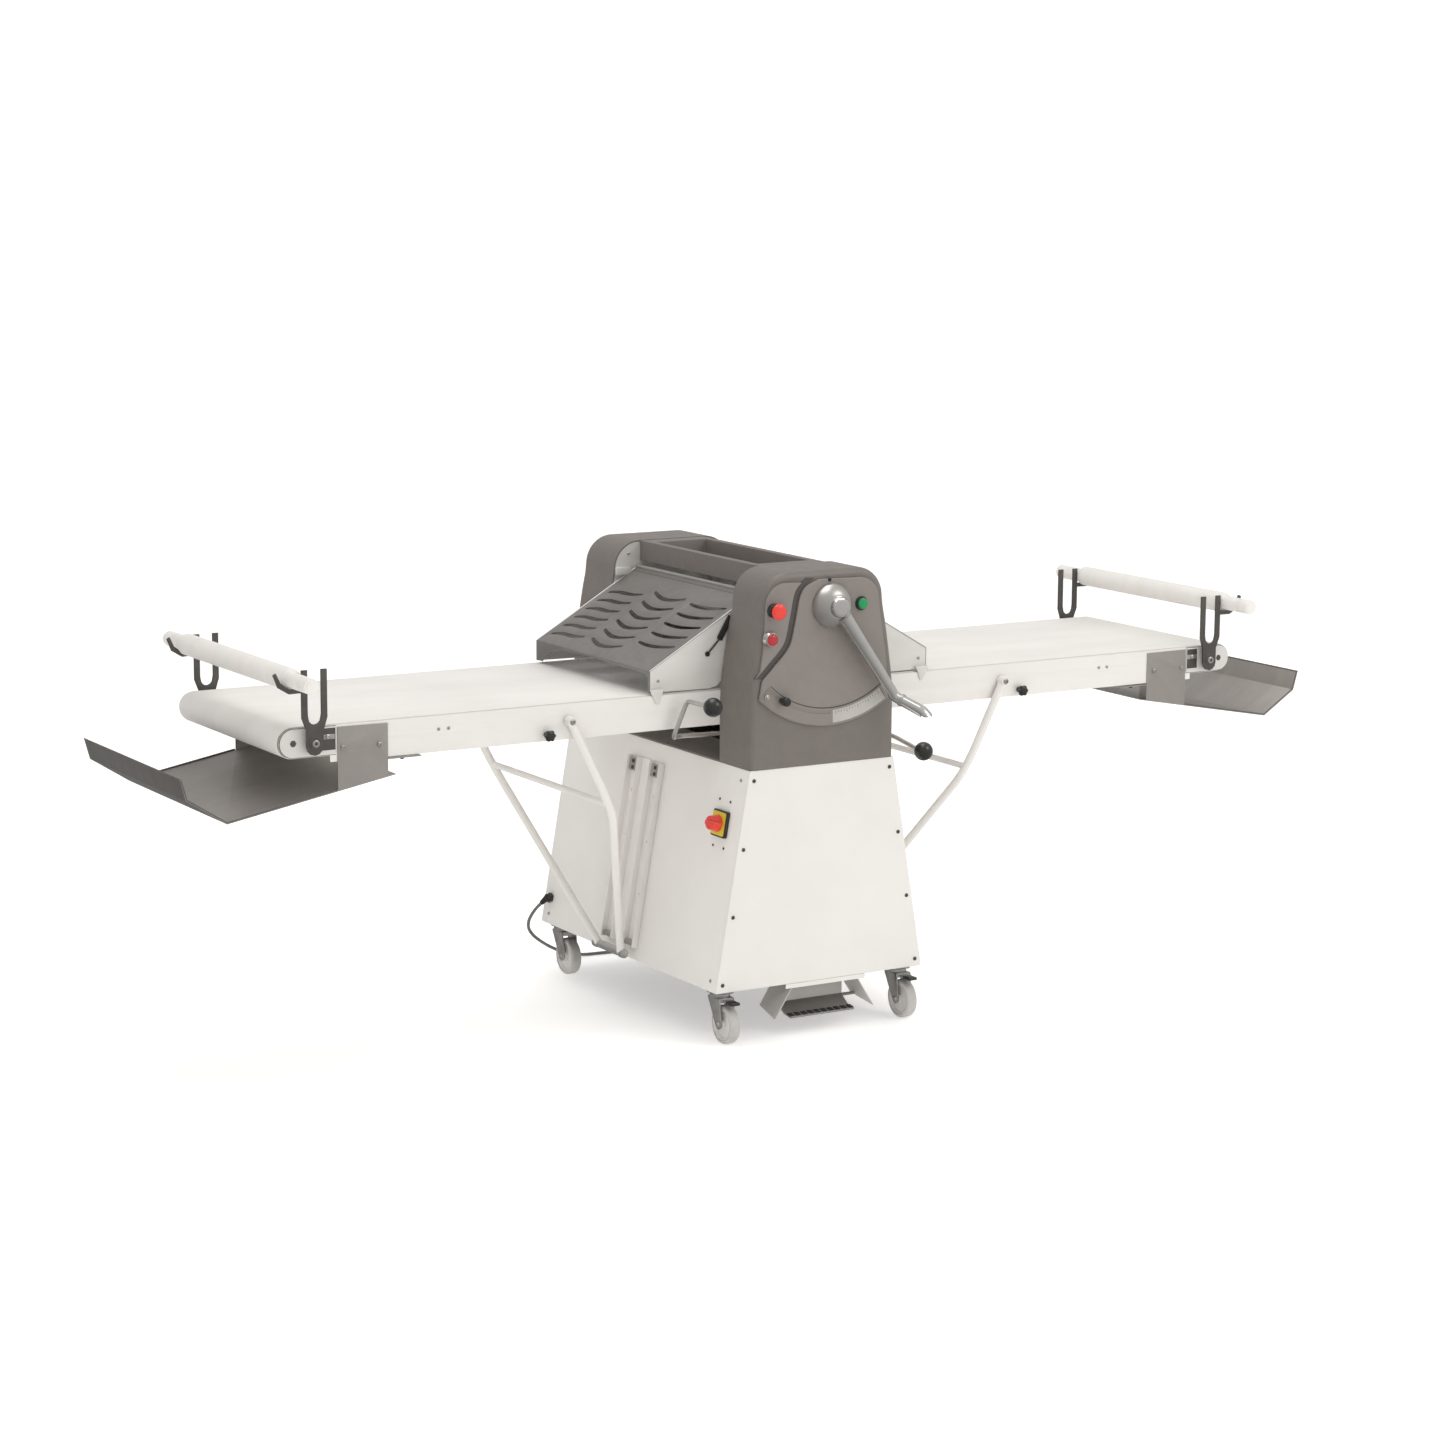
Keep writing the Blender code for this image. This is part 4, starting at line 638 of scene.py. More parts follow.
# the fold where side and front meet, and the screws of the side panels
for s, tag in ((-1, "left"), (1, "right")):
    rod(f"{tag}_casing_fold", [(s * (xs(z) - 0.0004), YF + 0.0042, z) for z in (CAB_Z0 + 0.002, 0.42, CAB_Z1 - 0.002)], 0.0009, "white", "machine", res=3)
    screws(f"{tag}_casing_screws", [(P(s * xs(z), y, z), (s * cos(LEAN), 0, sin(LEAN)), 0.0045, 0.0022) for z in (0.165, 0.675) for y in (-0.425, 0.445)],
           "zinc", "machine")
refine("base_frame", "dark", 0.0012)
refine("top_deck", "grey", 0.0008)
for tag in ("left", "right"):
    refine(f"{tag}_guide_rails", "white", 0.0005)
    s = -1 if tag == "left" else 1
    out, upv = Vector((s * cos(LEAN), 0, sin(LEAN))), Vector((-s * sin(LEAN), 0, cos(LEAN)))
    base = Vector((s * xs(0.170), YS, 0.170))
    length = (0.655 - 0.170) / cos(LEAN)
    # stop blocks at the foot and clamp pieces with screws at the top of both channels
    place = Matrix(((0, out.x, upv.x, base.x), (1, out.y, upv.y, base.y), (0, out.z, upv.z, base.z), (0, 0, 0, 1)))
    for k, y in enumerate((-0.021, 0.095)):
        block(f"{tag}_rail_clamp_{k}", (y - 0.0215, 0.0036, length - 0.040), (y + 0.0215, 0.0125, length - 0.006), "zinc", "machine", 0.0012, 2, place, shift=False)
        block(f"{tag}_rail_stop_{k}", (y - 0.0215, 0.0036, 0.004), (y + 0.0215, 0.0150, -0.0000 + 0.016), "zinc", "machine", 0.0012, 2, place, shift=False)
    screws(f"{tag}_rail_screws", [(base + out * 0.0124 + upv * (length - d) + Vector((0, y, 0)), tuple(out), 0.0055, 0.0032)
                                  for y in (-0.021, 0.095) for d in (0.0145, 0.0315)], "dark", "machine")
    screws(f"{tag}_rail_strip_screws", [(base + out * 0.0028 + upv * d + Vector((0, y, 0)), tuple(out), 0.0038, 0.0018)
                                        for y in (-0.021, 0.095) for d in (0.14, 0.28, 0.40)], "zinc", "machine")

# ------------------------------------------------------------------ head
CHEEK_OUT = ([(CAB_W1, CAB_Z1 + 0.0003), (CAB_W1, 0.862), (0.2125, 0.92), (0.1945, 1.04), (0.1830, 1.10)]
             + arc(0.104, 1.200 - 0.076, 0.076, 8, 90, 26))


def cheek_loop():
    side = [CHEEK_OUT[0]] + [(v.x, v.y) for v in (Vector((p[0], p[1])) for p in
                             [(q.x, q.z) for q in catmull([(x, 0, z) for x, z in CHEEK_OUT[1:5]], 24)])] + CHEEK_OUT[5:]
    return side + [(-x, z) for x, z in reversed(side)]


def cheek(node, y_out, y_in):
    """Cast cover: outer face with a broad soft rim, walls to the inside, open below and behind."""
    loop = cheek_loop()
    bm = bmesh.new()
    outer = [bm.verts.new((x, y_out + YS, z)) for x, z in loop]
    face = bm.faces.new(outer)
    ring = [bm.verts.new((x, y_in + YS, z)) for x, z in loop]
    n = len(loop)
    for k in range(n - 1):                       # the last side, along the bottom, stays open
        bm.faces.new((outer[k], ring[k], ring[k + 1], outer[k + 1]))
    bmesh.ops.recalc_face_normals(bm, faces=bm.faces)
    s = -1 if y_out < y_in else 1
    if face.normal.y * s < 0:
        bmesh.ops.reverse_faces(bm, faces=bm.faces)
    rim = [e for e in face.edges if not (abs(e.verts[0].co.z - CAB_Z1) < 0.001 and abs(e.verts[1].co.z - CAB_Z1) < 0.001)]
    bmesh.ops.bevel(bm, geom=rim, offset=0.017, segments=8, profile=0.5, affect="EDGES")
    me = bpy.data.meshes.new(node + "_casting")
    bm.to_mesh(me)
    bm.free()
    o = add(node + "_casting", me)
    sol = o.modifiers.new("wall", "SOLIDIFY")
    sol.thickness = 0.004
    sol.offset = -1
    sol.use_even_offset = True
    freeze(o)
    smooth(o.data, 28)
    return seat(o, "grey", "machine", node)


cheek("front_cheek", -0.460, -0.310)
cheek("rear_cheek", 0.478, 0.310)


def liner(name, lo, hi, hole):
    d = 0.0046
    loop = [(x - d * (1 if x > 0 else -1), min(z, 1.200 - d)) for x, z in cheek_loop()]
    loop = [(x, z + (0.002 if z < 0.71 else 0)) for x, z in loop]
    prism(name, [loop, arc(0, 0.855, hole, 0, 345, 23)], "XZ", lo, hi, "liner", "machine", 0.0003, 1)


# inner side sheets that close the cheeks towards the rolls, with their bracket and screws
liner("rear_inner_sheet", 0.3106, 0.3124, 0.0165)
liner("front_inner_sheet", -0.3124, -0.3106, 0.0165)
for k, (x, z) in enumerate(((-0.155, 1.120), (0.155, 1.120))):
    block(f"rear_bracket_{k}", (x - 0.022, 0.2985, z - 0.010), (x + 0.022, 0.3104, z + 0.010), "liner", "machine", 0.0012)
for side in (-1, 1):
    y = side * 0.3104
    tag = "front" if side < 0 else "rear"
    screws(f"{tag}_inner_screws", [(P(x, y, z), (0, -side, 0), 0.0045, 0.0014) for x in (-0.185, 0.185) for z in (0.74,)]
           + [(P(x, y, 1.165), (0, -side, 0), 0.0045, 0.0014) for x in (-0.135, 0.135)], "zinc", "machine")

# raised control fields, parted by the S-shaped groove
Y0, Y1 = -0.4603, -0.468
S_LINE = [(q.x, q.z) for q in catmull([(-0.045, 0, 1.183), (-0.083, 0, 1.150), (-0.100, 0, 1.080), (-0.117, 0, 1.018), (-0.161, 0, 0.970), (-0.196, 0, 0.936)], 40)]
ARC_C = (0.012, 1.110)
right_side = [(q.x, q.z) for q in catmull([(0.190, 0, 0.905), (0.184, 0, 0.96), (0.175, 0, 1.02), (0.164, 0, 1.085)], 12)]
right_field = (arc(*ARC_C, 0.308, -132.5, -52, 60) + right_side + arc(0.100, 1.117, 0.060, 4, 90, 22) + [(-0.022, 1.1795)]
               + [(x + 0.009, z - 0.003) for x, z in S_LINE[4:]])
left_field = ([(x - 0.009, z + 0.004) for x, z in S_LINE[4:]][::-1] + [(-0.080, 1.1745)] + arc(-0.120, 1.119, 0.0565, 86, 176, 22)
              + [(q.x, q.z) for q in catmull([(-0.1785, 0, 1.09), (-0.1830, 0, 1.02), (-0.193, 0, 0.955)], 8)])
hub_hole = arc(0.016, 1.110, 0.0300, 0, 352, 45)
prism("right_control_field", [right_field], "XZ", Y1, Y0, "field", "machine", 0.0030, 4, replaces="control_fascia")
prism("left_control_field", [left_field], "XZ", Y1, Y0, "field", "machine", 0.0030, 4)
prism("field_groove", [[(x - 0.014, z + 0.001) for x, z in S_LINE] + [(x + 0.012, z) for x, z in S_LINE][::-1]], "XZ", Y0 - 0.0016, Y0 + 0.0002, "groove", "machine", 0.0)
# thickness scale: raised band with a slot for the stop knob and a plain plate on its right half
RI, RO = 0.2630, 0.3055
band = arc(*ARC_C, RO, -132.7, -53.5, 60) + arc(*ARC_C, RI, -53.5, -132.7, 60)
slot_a = arc(*ARC_C, 0.2766, -132.25, -90.0, 30) + arc(*ARC_C, 0.2689, -90.0, -132.25, 30)
prism("scale_band", [band, slot_a], "XZ", Y1 - 0.0014, Y1 + 0.0010, "field", "machine", 0.0007, 2)
# a dark sheet in the slot paints the shade inside it
prism("scale_slot", [slot_a], "XZ", Y1 + 0.0004, Y1 + 0.0012, "inside", "machine", 0.0)
prism("scale_inner_line", [arc(*ARC_C, 0.2628, -132.0, -53, 60) + arc(*ARC_C, 0.2602, -53, -132.0, 60)], "XZ", Y1 - 0.0003, Y1 + 0.0004, "groove", "machine", 0.0)
prism("scale_plate", [arc(*ARC_C, 0.3010, -88.0, -56.0, 30) + arc(*ARC_C, 0.2680, -56.0, -88.0, 30)], "XZ", Y1 - 0.0019, Y1 - 0.0012, "label", "machine", 0.0002, 1)
ticks = []
bm = bmesh.new()
for k in range(17):
    a = -86.0 + k * 28.0 / 16
    long = 0.010 if k % 4 == 0 else 0.006
    u, w = Vector((cos(radians(a)), 0, sin(radians(a)))), Vector((-sin(radians(a)), 0, cos(radians(a))))
    c = P(ARC_C[0], Y1 - 0.00205, ARC_C[1])
    quad = []
    for y in (0, 0.0003):
        for r_, t_ in ((0.2705, -0.0005), (0.2705 + long, -0.0005), (0.2705 + long, 0.0005), (0.2705, 0.0005)):
            quad.append(bm.verts.new(c + u * r_ + w * t_ + Vector((0, y, 0))))
    a4, b4 = quad[:4], quad[4:]
    bm.faces.new(a4)
    bm.faces.new(b4[::-1])
    for i in range(4):
        bm.faces.new((a4[i], b4[i], b4[(i + 1) % 4], a4[(i + 1) % 4]))
outwards(bm)
me = bpy.data.meshes.new("scale_ticks")
bm.to_mesh(me)
bm.free()
seat(add("scale_ticks", me), "inside", "machine")
# small chrome end piece of the slot, and the black screw above the hub
ang = radians(-130.5)
ex, ez = ARC_C[0] + 0.2900 * cos(ang), ARC_C[1] + 0.2900 * sin(ang)
turned("slot_end_nut", [(0, 0.010), (0.0040, 0.010), (0.0054, 0.0085), (0.0054, 0.005), (0.0074, 0.0045), (0.0078, 0.0010), (0.0078, 0), (0, 0)],
       P(ex, Y1 - 0.0012, ez), (0, -1, 0), "polish", "machine", 36)
screws("field_screw", [(P(0.009, Y1, 1.1765), (0, -1, 0), 0.0052, 0.0022)], "black", "machine")

# flour trough: shell with rolled rim
refine("flour_trough", "grey", 0.0022, 3)
refine("drive_chain", "dark", 0.0008)
refine("gear_motor", "dark", 0.0020)
refine("roll_carriage", "zinc", 0.0012)
refine("roll_scraper", "steel", 0.0)
LOW_Z, UP_Z = 0.8550, 0.9390
turned("lower_roll_shell", [(0, 0.412), (0.0125, 0.412), (0.0125, 0.401), (0.0395, 0.401), (0.0400, 0.4005), (0.0400, 0.3935), (0.0395, 0.393), (0.0125, 0.393), (0.0125, 0.3085), (0.0350, 0.3085),
                            (0.0360, 0.3075), (0.0360, -0.3075), (0.0350, -0.3085), (0.0125, -0.3085), (0.0125, -0.345), (0, -0.345)],
       P(0, 0, LOW_Z), (0, 1, 0), "chrome", "lower_roll", 64, "lower_roll")
turned("upper_roll_shell", [(0, 0.3085), (0.0125, 0.3085), (0.0125, 0.292), (0.0350, 0.292), (0.0360, 0.291), (0.0360, -0.291), (0.0350, -0.292), (0.0125, -0.292), (0.0125, -0.3085), (0, -0.3085)],
       P(0, 0, UP_Z), (0, 1, 0), "chrome", "upper_roll", 64, "upper_roll")

# ------------------------------------------------------------------ controls
FRONT = (0, -1, 0)
turned("stop_mushroom", [(0, 0.0360), (0.006, 0.0359), (0.012, 0.0352), (0.0165, 0.0338), (0.0195, 0.0312), (0.0205, 0.0282), (0.0200, 0.0250), (0.0185, 0.0235), (0.0110, 0.0225), (0.0110, -0.012), (0, -0.012)],
       P(-0.157, Y1, 1.108), FRONT, "red", "stop_button", 56, "stop_button")
turned("stop_collar", [(0.0122, 0.0100), (0.0140, 0.0098), (0.0178, 0.0060), (0.0185, 0.0020), (0.0185, 0.0001), (0.0122, 0.0001), (0.0122, 0.0100)],
       P(-0.157, Y1, 1.108), FRONT, "black", "machine", 48)
turned("start_cap", [(0, 0.0120), (0.007, 0.0120), (0.0115, 0.0116), (0.0135, 0.0104), (0.0142, 0.0086), (0.0142, 0.0060), (0.0130, 0.0057), (0.0115, 0.0056), (0.0115, -0.012), (0, -0.012)],
       P(0.105, Y1, 1.110), FRONT, "green", "start_button", 56, "start_button")
turned("start_collar", [(0.0150, 0.0042), (0.0170, 0.0040), (0.0180, 0.0022), (0.0182, 0.0001), (0.0150, 0.0001), (0.0150, 0.0042)],
       P(0.105, Y1, 1.110), FRONT, "black", "machine", 48)
turned("lamp_lens", [(0, 0.0240), (0.005, 0.0237), (0.010, 0.0226), (0.0138, 0.0200), (0.0155, 0.0165), (0.0155, 0.0120), (0, 0.0120)],
       P(-0.168, Y1, 1.037), FRONT, "lamp", "machine", 56, "pilot_lamp")
turned("lamp_bezel", [(0.0157, 0.0150), (0.0172, 0.0148), (0.0188, 0.0120), (0.0202, 0.0060), (0.0205, 0.0001), (0.0150, 0.0001), (0.0157, 0.0150)],
       P(-0.168, Y1, 1.037), FRONT, "polish", "machine", 56)

# thickness lever: dished hub, polished cap, tapered arm with a bent grip
HUB = (0.016, 1.110)
hub_y = Y1 - 0.0003
turned("lever_hub", [(0, 0.0340), (0.0290, 0.0340), (0.0330, 0.0325), (0.0400, 0.0285), (0.0480, 0.0215), (0.0540, 0.0130), (0.0570, 0.0060), (0.0575, 0.0020), (0.0570, 0.0),
                     (0.016, 0.0), (0.016, -0.022), (0, -0.022)], P(HUB[0], hub_y, HUB[1]), FRONT, "cast", "thickness_lever", 72, "thickness_lever")
turned("lever_cap", [(0, 0.0500), (0.0160, 0.0500), (0.0200, 0.0496), (0.0240, 0.0478), (0.0262, 0.0445), (0.0268, 0.0400), (0.0268, 0.0345), (0.0285, 0.0338), (0, 0.0330)],
       P(HUB[0], hub_y, HUB[1]), FRONT, "polish", "thickness_lever", 64)
a = Vector((HUB[0] + 0.020, hub_y - 0.027, HUB[1] - 0.026))
b = Vector((0.190, -0.500, 0.868))
c = Vector((0.2407, -0.572, 0.8293))
arm = rounded_path([a, b], 0.01)
n_arm = 14
pts = [a.lerp(b, k / n_arm) for k in range(n_arm)]
rad = [0.0205 - 0.0065 * (k / n_arm) ** 0.8 for k in range(n_arm)]
bend = rounded_path([a.lerp(b, (n_arm - 1) / n_arm), b, c], 0.016, 6)[1:-1]
pts += [Vector(p) for p in bend]
rad += [0.0141] * len(bend)
for k in range(1, 9):
    f = k / 8
    q = Vector(bend[-1]).lerp(c, f)
    pts.append(q)
    rad.append(0.0141 + 0.0012 * f)
tip = (c - b).normalized()
for f in (0.35, 0.7, 0.92, 1.0):
    pts.append(c + tip * (0.004 * f - 0.0045))
    rad.append(0.0152 * sqrt(max(0.02, 1 - (f * 0.99) ** 2)) if f < 1 else 0.002)
pts = [p for k, p in enumerate(pts)]
rod("lever_arm", [tuple(p) for p in pts], 0.014, "polish", "thickness_lever", res=7, radii=rad)
turned("lever_grip_collar", [(0.0138, 0.0045), (0.0160, 0.0040), (0.0164, 0.0), (0.0160, -0.0040), (0.0138, -0.0045)],
       tuple(P(*(b.lerp(c, 0.22)))), tuple(tip), "cast", "thickness_lever", 40)

ang = radians(-121.5)
kx, kz = ARC_C[0] + 0.27275 * cos(ang), ARC_C[1] + 0.27275 * sin(ang)
turned("stop_knob_body", [(0, 0.032), (0.005, 0.0318), (0.009, 0.0305), (0.0113, 0.0275), (0.0115, 0.0240), (0.0115, 0.0130), (0.0108, 0.0105), (0.0085, 0.0085), (0.0080, 0.0025), (0.0032, 0.0022), (0.0032, -0.012), (0, -0.012)],
       P(kx, Y1, kz), FRONT, "black", "stop_knob", 72, "stop_knob", lobes=24, depth=0.018)

# mains switch: black back plate, yellow plate, red knob with a handle
zc, yc = 0.555, -0.365
out = Vector((-cos(LEAN), 0, sin(LEAN)))
upv = Vector((sin(LEAN), 0, cos(LEAN)))
base = Vector((-xs(zc), yc + YS, zc)) + out * 0.0003
place = Matrix.Translation(base) @ Matrix(((out.x, 0, upv.x), (out.y, -1, upv.y), (out.z, 0, upv.z))).to_4x4()


def square(h, r, n=6):
    pts = []
    for cx, cz, a0 in ((h - r, h - r, 0), (-h + r, h - r, 90), (-h + r, -h + r, 180), (h - r, -h + r, 270)):
        pts += arc(cx, cz, r, a0, a0 + 90, n)
    return pts


prism("switch_back", [square(0.0345, 0.006)], "YZ", 0.0002, 0.0088, "black", "machine", 0.0012, 3, "switch_plate", place, False)
prism("switch_face", [square(0.0300, 0.005)], "YZ", 0.0086, 0.0118, "yellow", "machine", 0.0009, 3, (), place, False)
kn = turned("switch_knob_body", [(0, 0.0400), (0.0140, 0.0400), (0.0165, 0.0390), (0.0180, 0.0365), (0.0192, 0.0290), (0.0220, 0.0150), (0.0222, 0.0127), (0, 0.0127)],
            tuple(base), tuple(out), "red", "switch_knob", 56, "switch_knob", lobes=12, depth=0.012)
prism("switch_handle", [square(0.0062, 0.0045)], "YZ", 0.0, 0.001, "red", "switch_knob", 0.0, 1, (), Matrix.Translation((0, 0, -5)), False)
bpy.data.objects.remove(bpy.data.objects["switch_handle"])
hl = [(-0.036, -0.0048), (-0.034, -0.0062), (0.006, -0.0062), (0.0095, -0.0050), (0.010, 0.0), (0.0095, 0.0050), (0.006, 0.0062), (-0.034, 0.0062), (-0.036, 0.0048)]
prism("switch_handle_grip", [[(-y, z) for y, z in hl]], "YZ", 0.020, 0.046, "red", "switch_knob", 0.0022, 3, (), place, False)
screws("switch_screws", [(place @ Vector((0, dy, dz)), tuple(out), 0.0036, 0.0018) for dy in (-0.026, 0.026) for dz in (-0.060, 0.060)], "dark", "machine")

# belt reversing lever: bent steel rod with two ball knobs
yb, yi = -0.335, -0.290
path = [(-0.328, -0.440, 0.876), (-0.328, yb, 0.873), (-0.352, yb, 0.820), (-0.368, yb, 0.783), (-0.330, yi, 0.776),
        (0.0, yi, 0.768), (0.290, yi, 0.735), (0.306, yb, 0.726), (0.308, -0.440, 0.709)]
rod("reversing_rod", rounded_path(path, 0.014, 6), 0.006, "steel", "reversing_lever", "reversing_lever", 6)
turned("reversing_boss", [(0.0058, 0.0355), (0.0115, 0.0355), (0.0130, 0.0335), (0.0130, 0.0020), (0.0115, 0), (0.0058, 0), (0.0058, 0.0355)], P(0, -0.3075, 0.768), (0, 1, 0), "zinc", "reversing_lever", 36)
for k, (x, z) in enumerate(((-0.328, 0.876), (0.308, 0.709))):
    R = 0.0245
    prof = [(0, R)] + [(R * sin(radians(t)), R * cos(radians(t))) for t in range(6, 158, 6)] + [(0.0095, -R * 0.93 - 0.0005), (0.0090, -R - 0.0035), (0, -R - 0.0035)]
    turned(f"reversing_ball_{k}", prof, P(x, -0.462, z), FRONT, "black", "reversing_lever", 48)

# foot pedal in its hood
PEDAL_X = 0.016
refine("pedal_housing", "hood", 0.0008)
block("pedal_hood_lip", (PEDAL_X - 0.1202, -0.4597, 0.1258), (PEDAL_X + 0.1202, -0.4588, 0.1374), "white", "machine", 0.0003, 1)
refine("foot_pedal", "pedal", 0.0010)
bm = bmesh.new()
for k in range(10):
    x = PEDAL_X - 0.0975 + k * 0.0201
    bmesh.ops.create_cube(bm, size=1, matrix=Matrix.Translation(P(x, -0.4475, 0.0522)) @ Matrix.Rotation(radians(9.2), 4, "X") @ Matrix.Diagonal((0.0140, 0.0190, 0.0030, 1)))
outwards(bm)
me = bpy.data.meshes.new("pedal_tread")
bm.to_mesh(me)
bm.free()
seat(soften(add("pedal_tread", me), 0.0007, 2), "rubber", "foot_pedal")

# ------------------------------------------------------------------ conveyor tables
AXLE_X, AXLE_Z, DRIVE_X = 1.397, 0.853, 0.140
SKIRT_Y, SKIRT_Z0 = 0.309, 0.800


def wave_slot(v0, v1, centre, half=0.0068, n=16):
    """A slot with round ends along a curved centre line: pairs (u, v) on the guard plate."""
    mid = [Vector((centre(v0 + (v1 - v0) * k / n), v0 + (v1 - v0) * k / n)) for k in range(n + 1)]
    left, right_ = [], []
    for k, p in enumerate(mid):
        t = (mid[min(k + 1, n)] - mid[max(k - 1, 0)]).normalized()
        nv = Vector((-t.y, t.x))
        taper = half * (0.55 + 0.45 * sin(pi * (k + 0.6) / (n + 1.2)))
        left.append(p + nv * taper)
        right_.append(p - nv * taper)
    t0 = (mid[1] - mid[0]).normalized()
    t1 = (mid[-1] - mid[-2]).normalized()
    start = [mid[0] - t0 * half * 0.5]
    end = [mid[-1] + t1 * half * 0.5]
    return [(p.x, p.y) for p in left + end + right_[::-1] + start]


def guard(side, tag):
    """Slotted cover plate, bent lip with its opening, two side plates, hinge rod and handle tip."""
    hx, hz, lx, lz, gy = 0.108, 1.131, 0.420, 0.951, 0.3035
    body, node = f"{tag}_guard", f"{tag}_guard"
    d = Vector((lx - hx, 0, lz - hz))
    L = d.length
    d.normalize()
    nrm = Vector((-d.z, 0, d.x))
    X = Vector((side * d.x, 0, d.z))
    N = Vector((side * nrm.x, 0, nrm.z))
    place = Matrix(((X.x, 0, N.x, side * hx), (0, 1, 0, YS), (X.z, 0, N.z, hz), (0, 0, 0, 1)))
    loops = [[(0.006, -gy + 0.0004), (L - 0.0008, -gy + 0.0004), (L - 0.0008, gy - 0.0004), (0.006, gy - 0.0004)]]
    for u0 in (0.112, 0.152, 0.192, 0.232, 0.272, 0.312):
        loops.append(wave_slot(0.128, 0.276, lambda v: u0 + 0.13 * (v - 0.2) + 0.0035 * sin(2 * pi * (v - 0.128) / 0.148)))
    for u0 in (0.088, 0.132, 0.176, 0.220, 0.264, 0.306):
        loops.append(wave_slot(-0.070, 0.088, lambda v: u0 + 0.018 * cos(pi * (v - 0.009) / 0.158) - 0.006))
    for u0 in (0.078, 0.122, 0.166, 0.210, 0.254):
        loops.append(wave_slot(-0.272, -0.112, lambda v: u0 + 0.020 * sin(pi * (v + 0.285) / 0.24)))
    prism(f"{tag}_guard_plate", loops, "XY", -0.0022, 0.0003, "guard", body, 0.0005, 2, node, place, False)
    arch = [(q.x, q.z) for q in catmull([(0.2680, 0, 0.8985), (0.2635, 0, 0.906), (0.235, 0, 0.922), (0.190, 0, 0.936), (0.130, 0, 0.944), (0.060, 0, 0.9463),
                                         (-0.100, 0, 0.9450), (-0.280, 0, 0.9430)], 42)]
    lip = ([(-gy, 0.9505), (gy, 0.9505), (gy, 0.8985)] + arch + [(-0.296, 0.9370), (-0.296, 0.8965), (-gy, 0.8965)])
    a, b = sorted((side * (lx - 0.0022), side * lx))
    prism(f"{tag}_guard_lip", [lip], "YZ", a, b, "guard", body, 0.0005, 2)
    # rounded fold between plate and lip
    rod(f"{tag}_guard_fold", [(side * (lx - 0.0011), y, lz - 0.0009) for y in (-gy + 0.0004, 0, gy - 0.0004)], 0.0014, "guard", body, res=3)
    sp = [(hx + 0.0035, hz - 0.003), (lx - 0.0005, lz - 0.001), (lx - 0.0005, 0.8965), (0.245, 0.8945), (0.222, 0.9000), (0.203, 0.9180), (0.194, 0.936), (hx + 0.012, 1.085)]
    for s, w in ((-1, "front"), (1, "rear")):
        ya, yb = sorted((s * (gy - 0.0002), s * (gy - 0.0026)))
        prism(f"{tag}_guard_{w}_side", [flip(sp, side)], "XZ", ya, yb, "liner", body, 0.0004, 2)
        rod(f"{tag}_guard_{w}_bead", [(side * (hx + 0.010), s * (gy - 0.0014), hz - 0.0045), (side * (lx - 0.001), s * (gy - 0.0014), lz - 0.0003)], 0.0019, "steel", body, res=3)
    rod(f"{tag}_guard_hinge_rod", [(side * hx, y, hz - 0.0005) for y in (-0.3085, 0, 0.3085)], 0.0055, "steel", body, res=5)
    screws(f"{tag}_guard_screws", [(P(side * x, s * gy, z), (0, s, 0), 0.0042, 0.0018) for s in (-1, 1) for x, z in ((0.150, 1.085), (0.395, 0.925))], "zinc", body)
    # black gas stay along the front side plate: flat barrel, rod and eye, and the pointed handle tab in front of the skirt
    ax, bx, cx = Vector((0.184, 1.076)), Vector((0.2185, 1.018)), Vector((0.2520, 0.9835))
    t1, t2 = (bx - ax).normalized(), (cx - bx).normalized()
    n1, n2 = Vector((-t1.y, t1.x)), Vector((-t2.y, t2.x))
    barrel = [ax + n1 * 0.0088, bx + n1 * 0.0088 - t1 * 0.003, bx + n1 * 0.0060, bx - n1 * 0.0060, bx - n1 * 0.0088 - t1 * 0.003, ax - n1 * 0.0088]
    stay = [bx - t2 * 0.004 + n2 * 0.0024, cx + n2 * 0.0024, cx - n2 * 0.0024, bx - t2 * 0.004 - n2 * 0.0024]
    prism(f"{tag}_guard_stay_barrel", [flip([tuple(q) for q in barrel], side)], "XZ", -0.3084, -0.3054, "black", body, 0.0010, 3)
    prism(f"{tag}_guard_stay_rod", [flip([tuple(q) for q in stay], side)], "XZ", -0.3074, -0.3056, "dark", body, 0.0006, 2)
    turned(f"{tag}_guard_stay_eye", [(0, 0.0044), (0.0054, 0.0044), (0.0066, 0.0036), (0.0066, 0.0004), (0, 0.0002)], P(side * cx.x, -gy, cx.y), FRONT, "black", body, 28)
    tab = [(0.4195, 0.9050), (0.4195, 0.8960), (0.4040, 0.8685), (0.3965, 0.8660), (0.3900, 0.8860), (0.3820, 0.9050)]
    prism(f"{tag}_guard_tab", [flip(tab, side)], "XZ", -0.3122, -0.3100, "liner", body, 0.0005, 2)
    block(f"{tag}_guard_tab_fold", (min(side * 0.3830, side * 0.4190), -0.3115, 0.8995), (max(side * 0.3830, side * 0.4190), -0.3010, 0.9050), "liner", body, 0.0006, 2)
    # narrow dark strip of the hinge side, under the trough
    block(f"{tag}_guard_seam", (min(side * 0.1135, side * 0.1265), -0.300, 1.1190), (max(side * 0.1135, side * 0.1265), 0.300, 1.1215), "groove", body, 0.0003, 1)


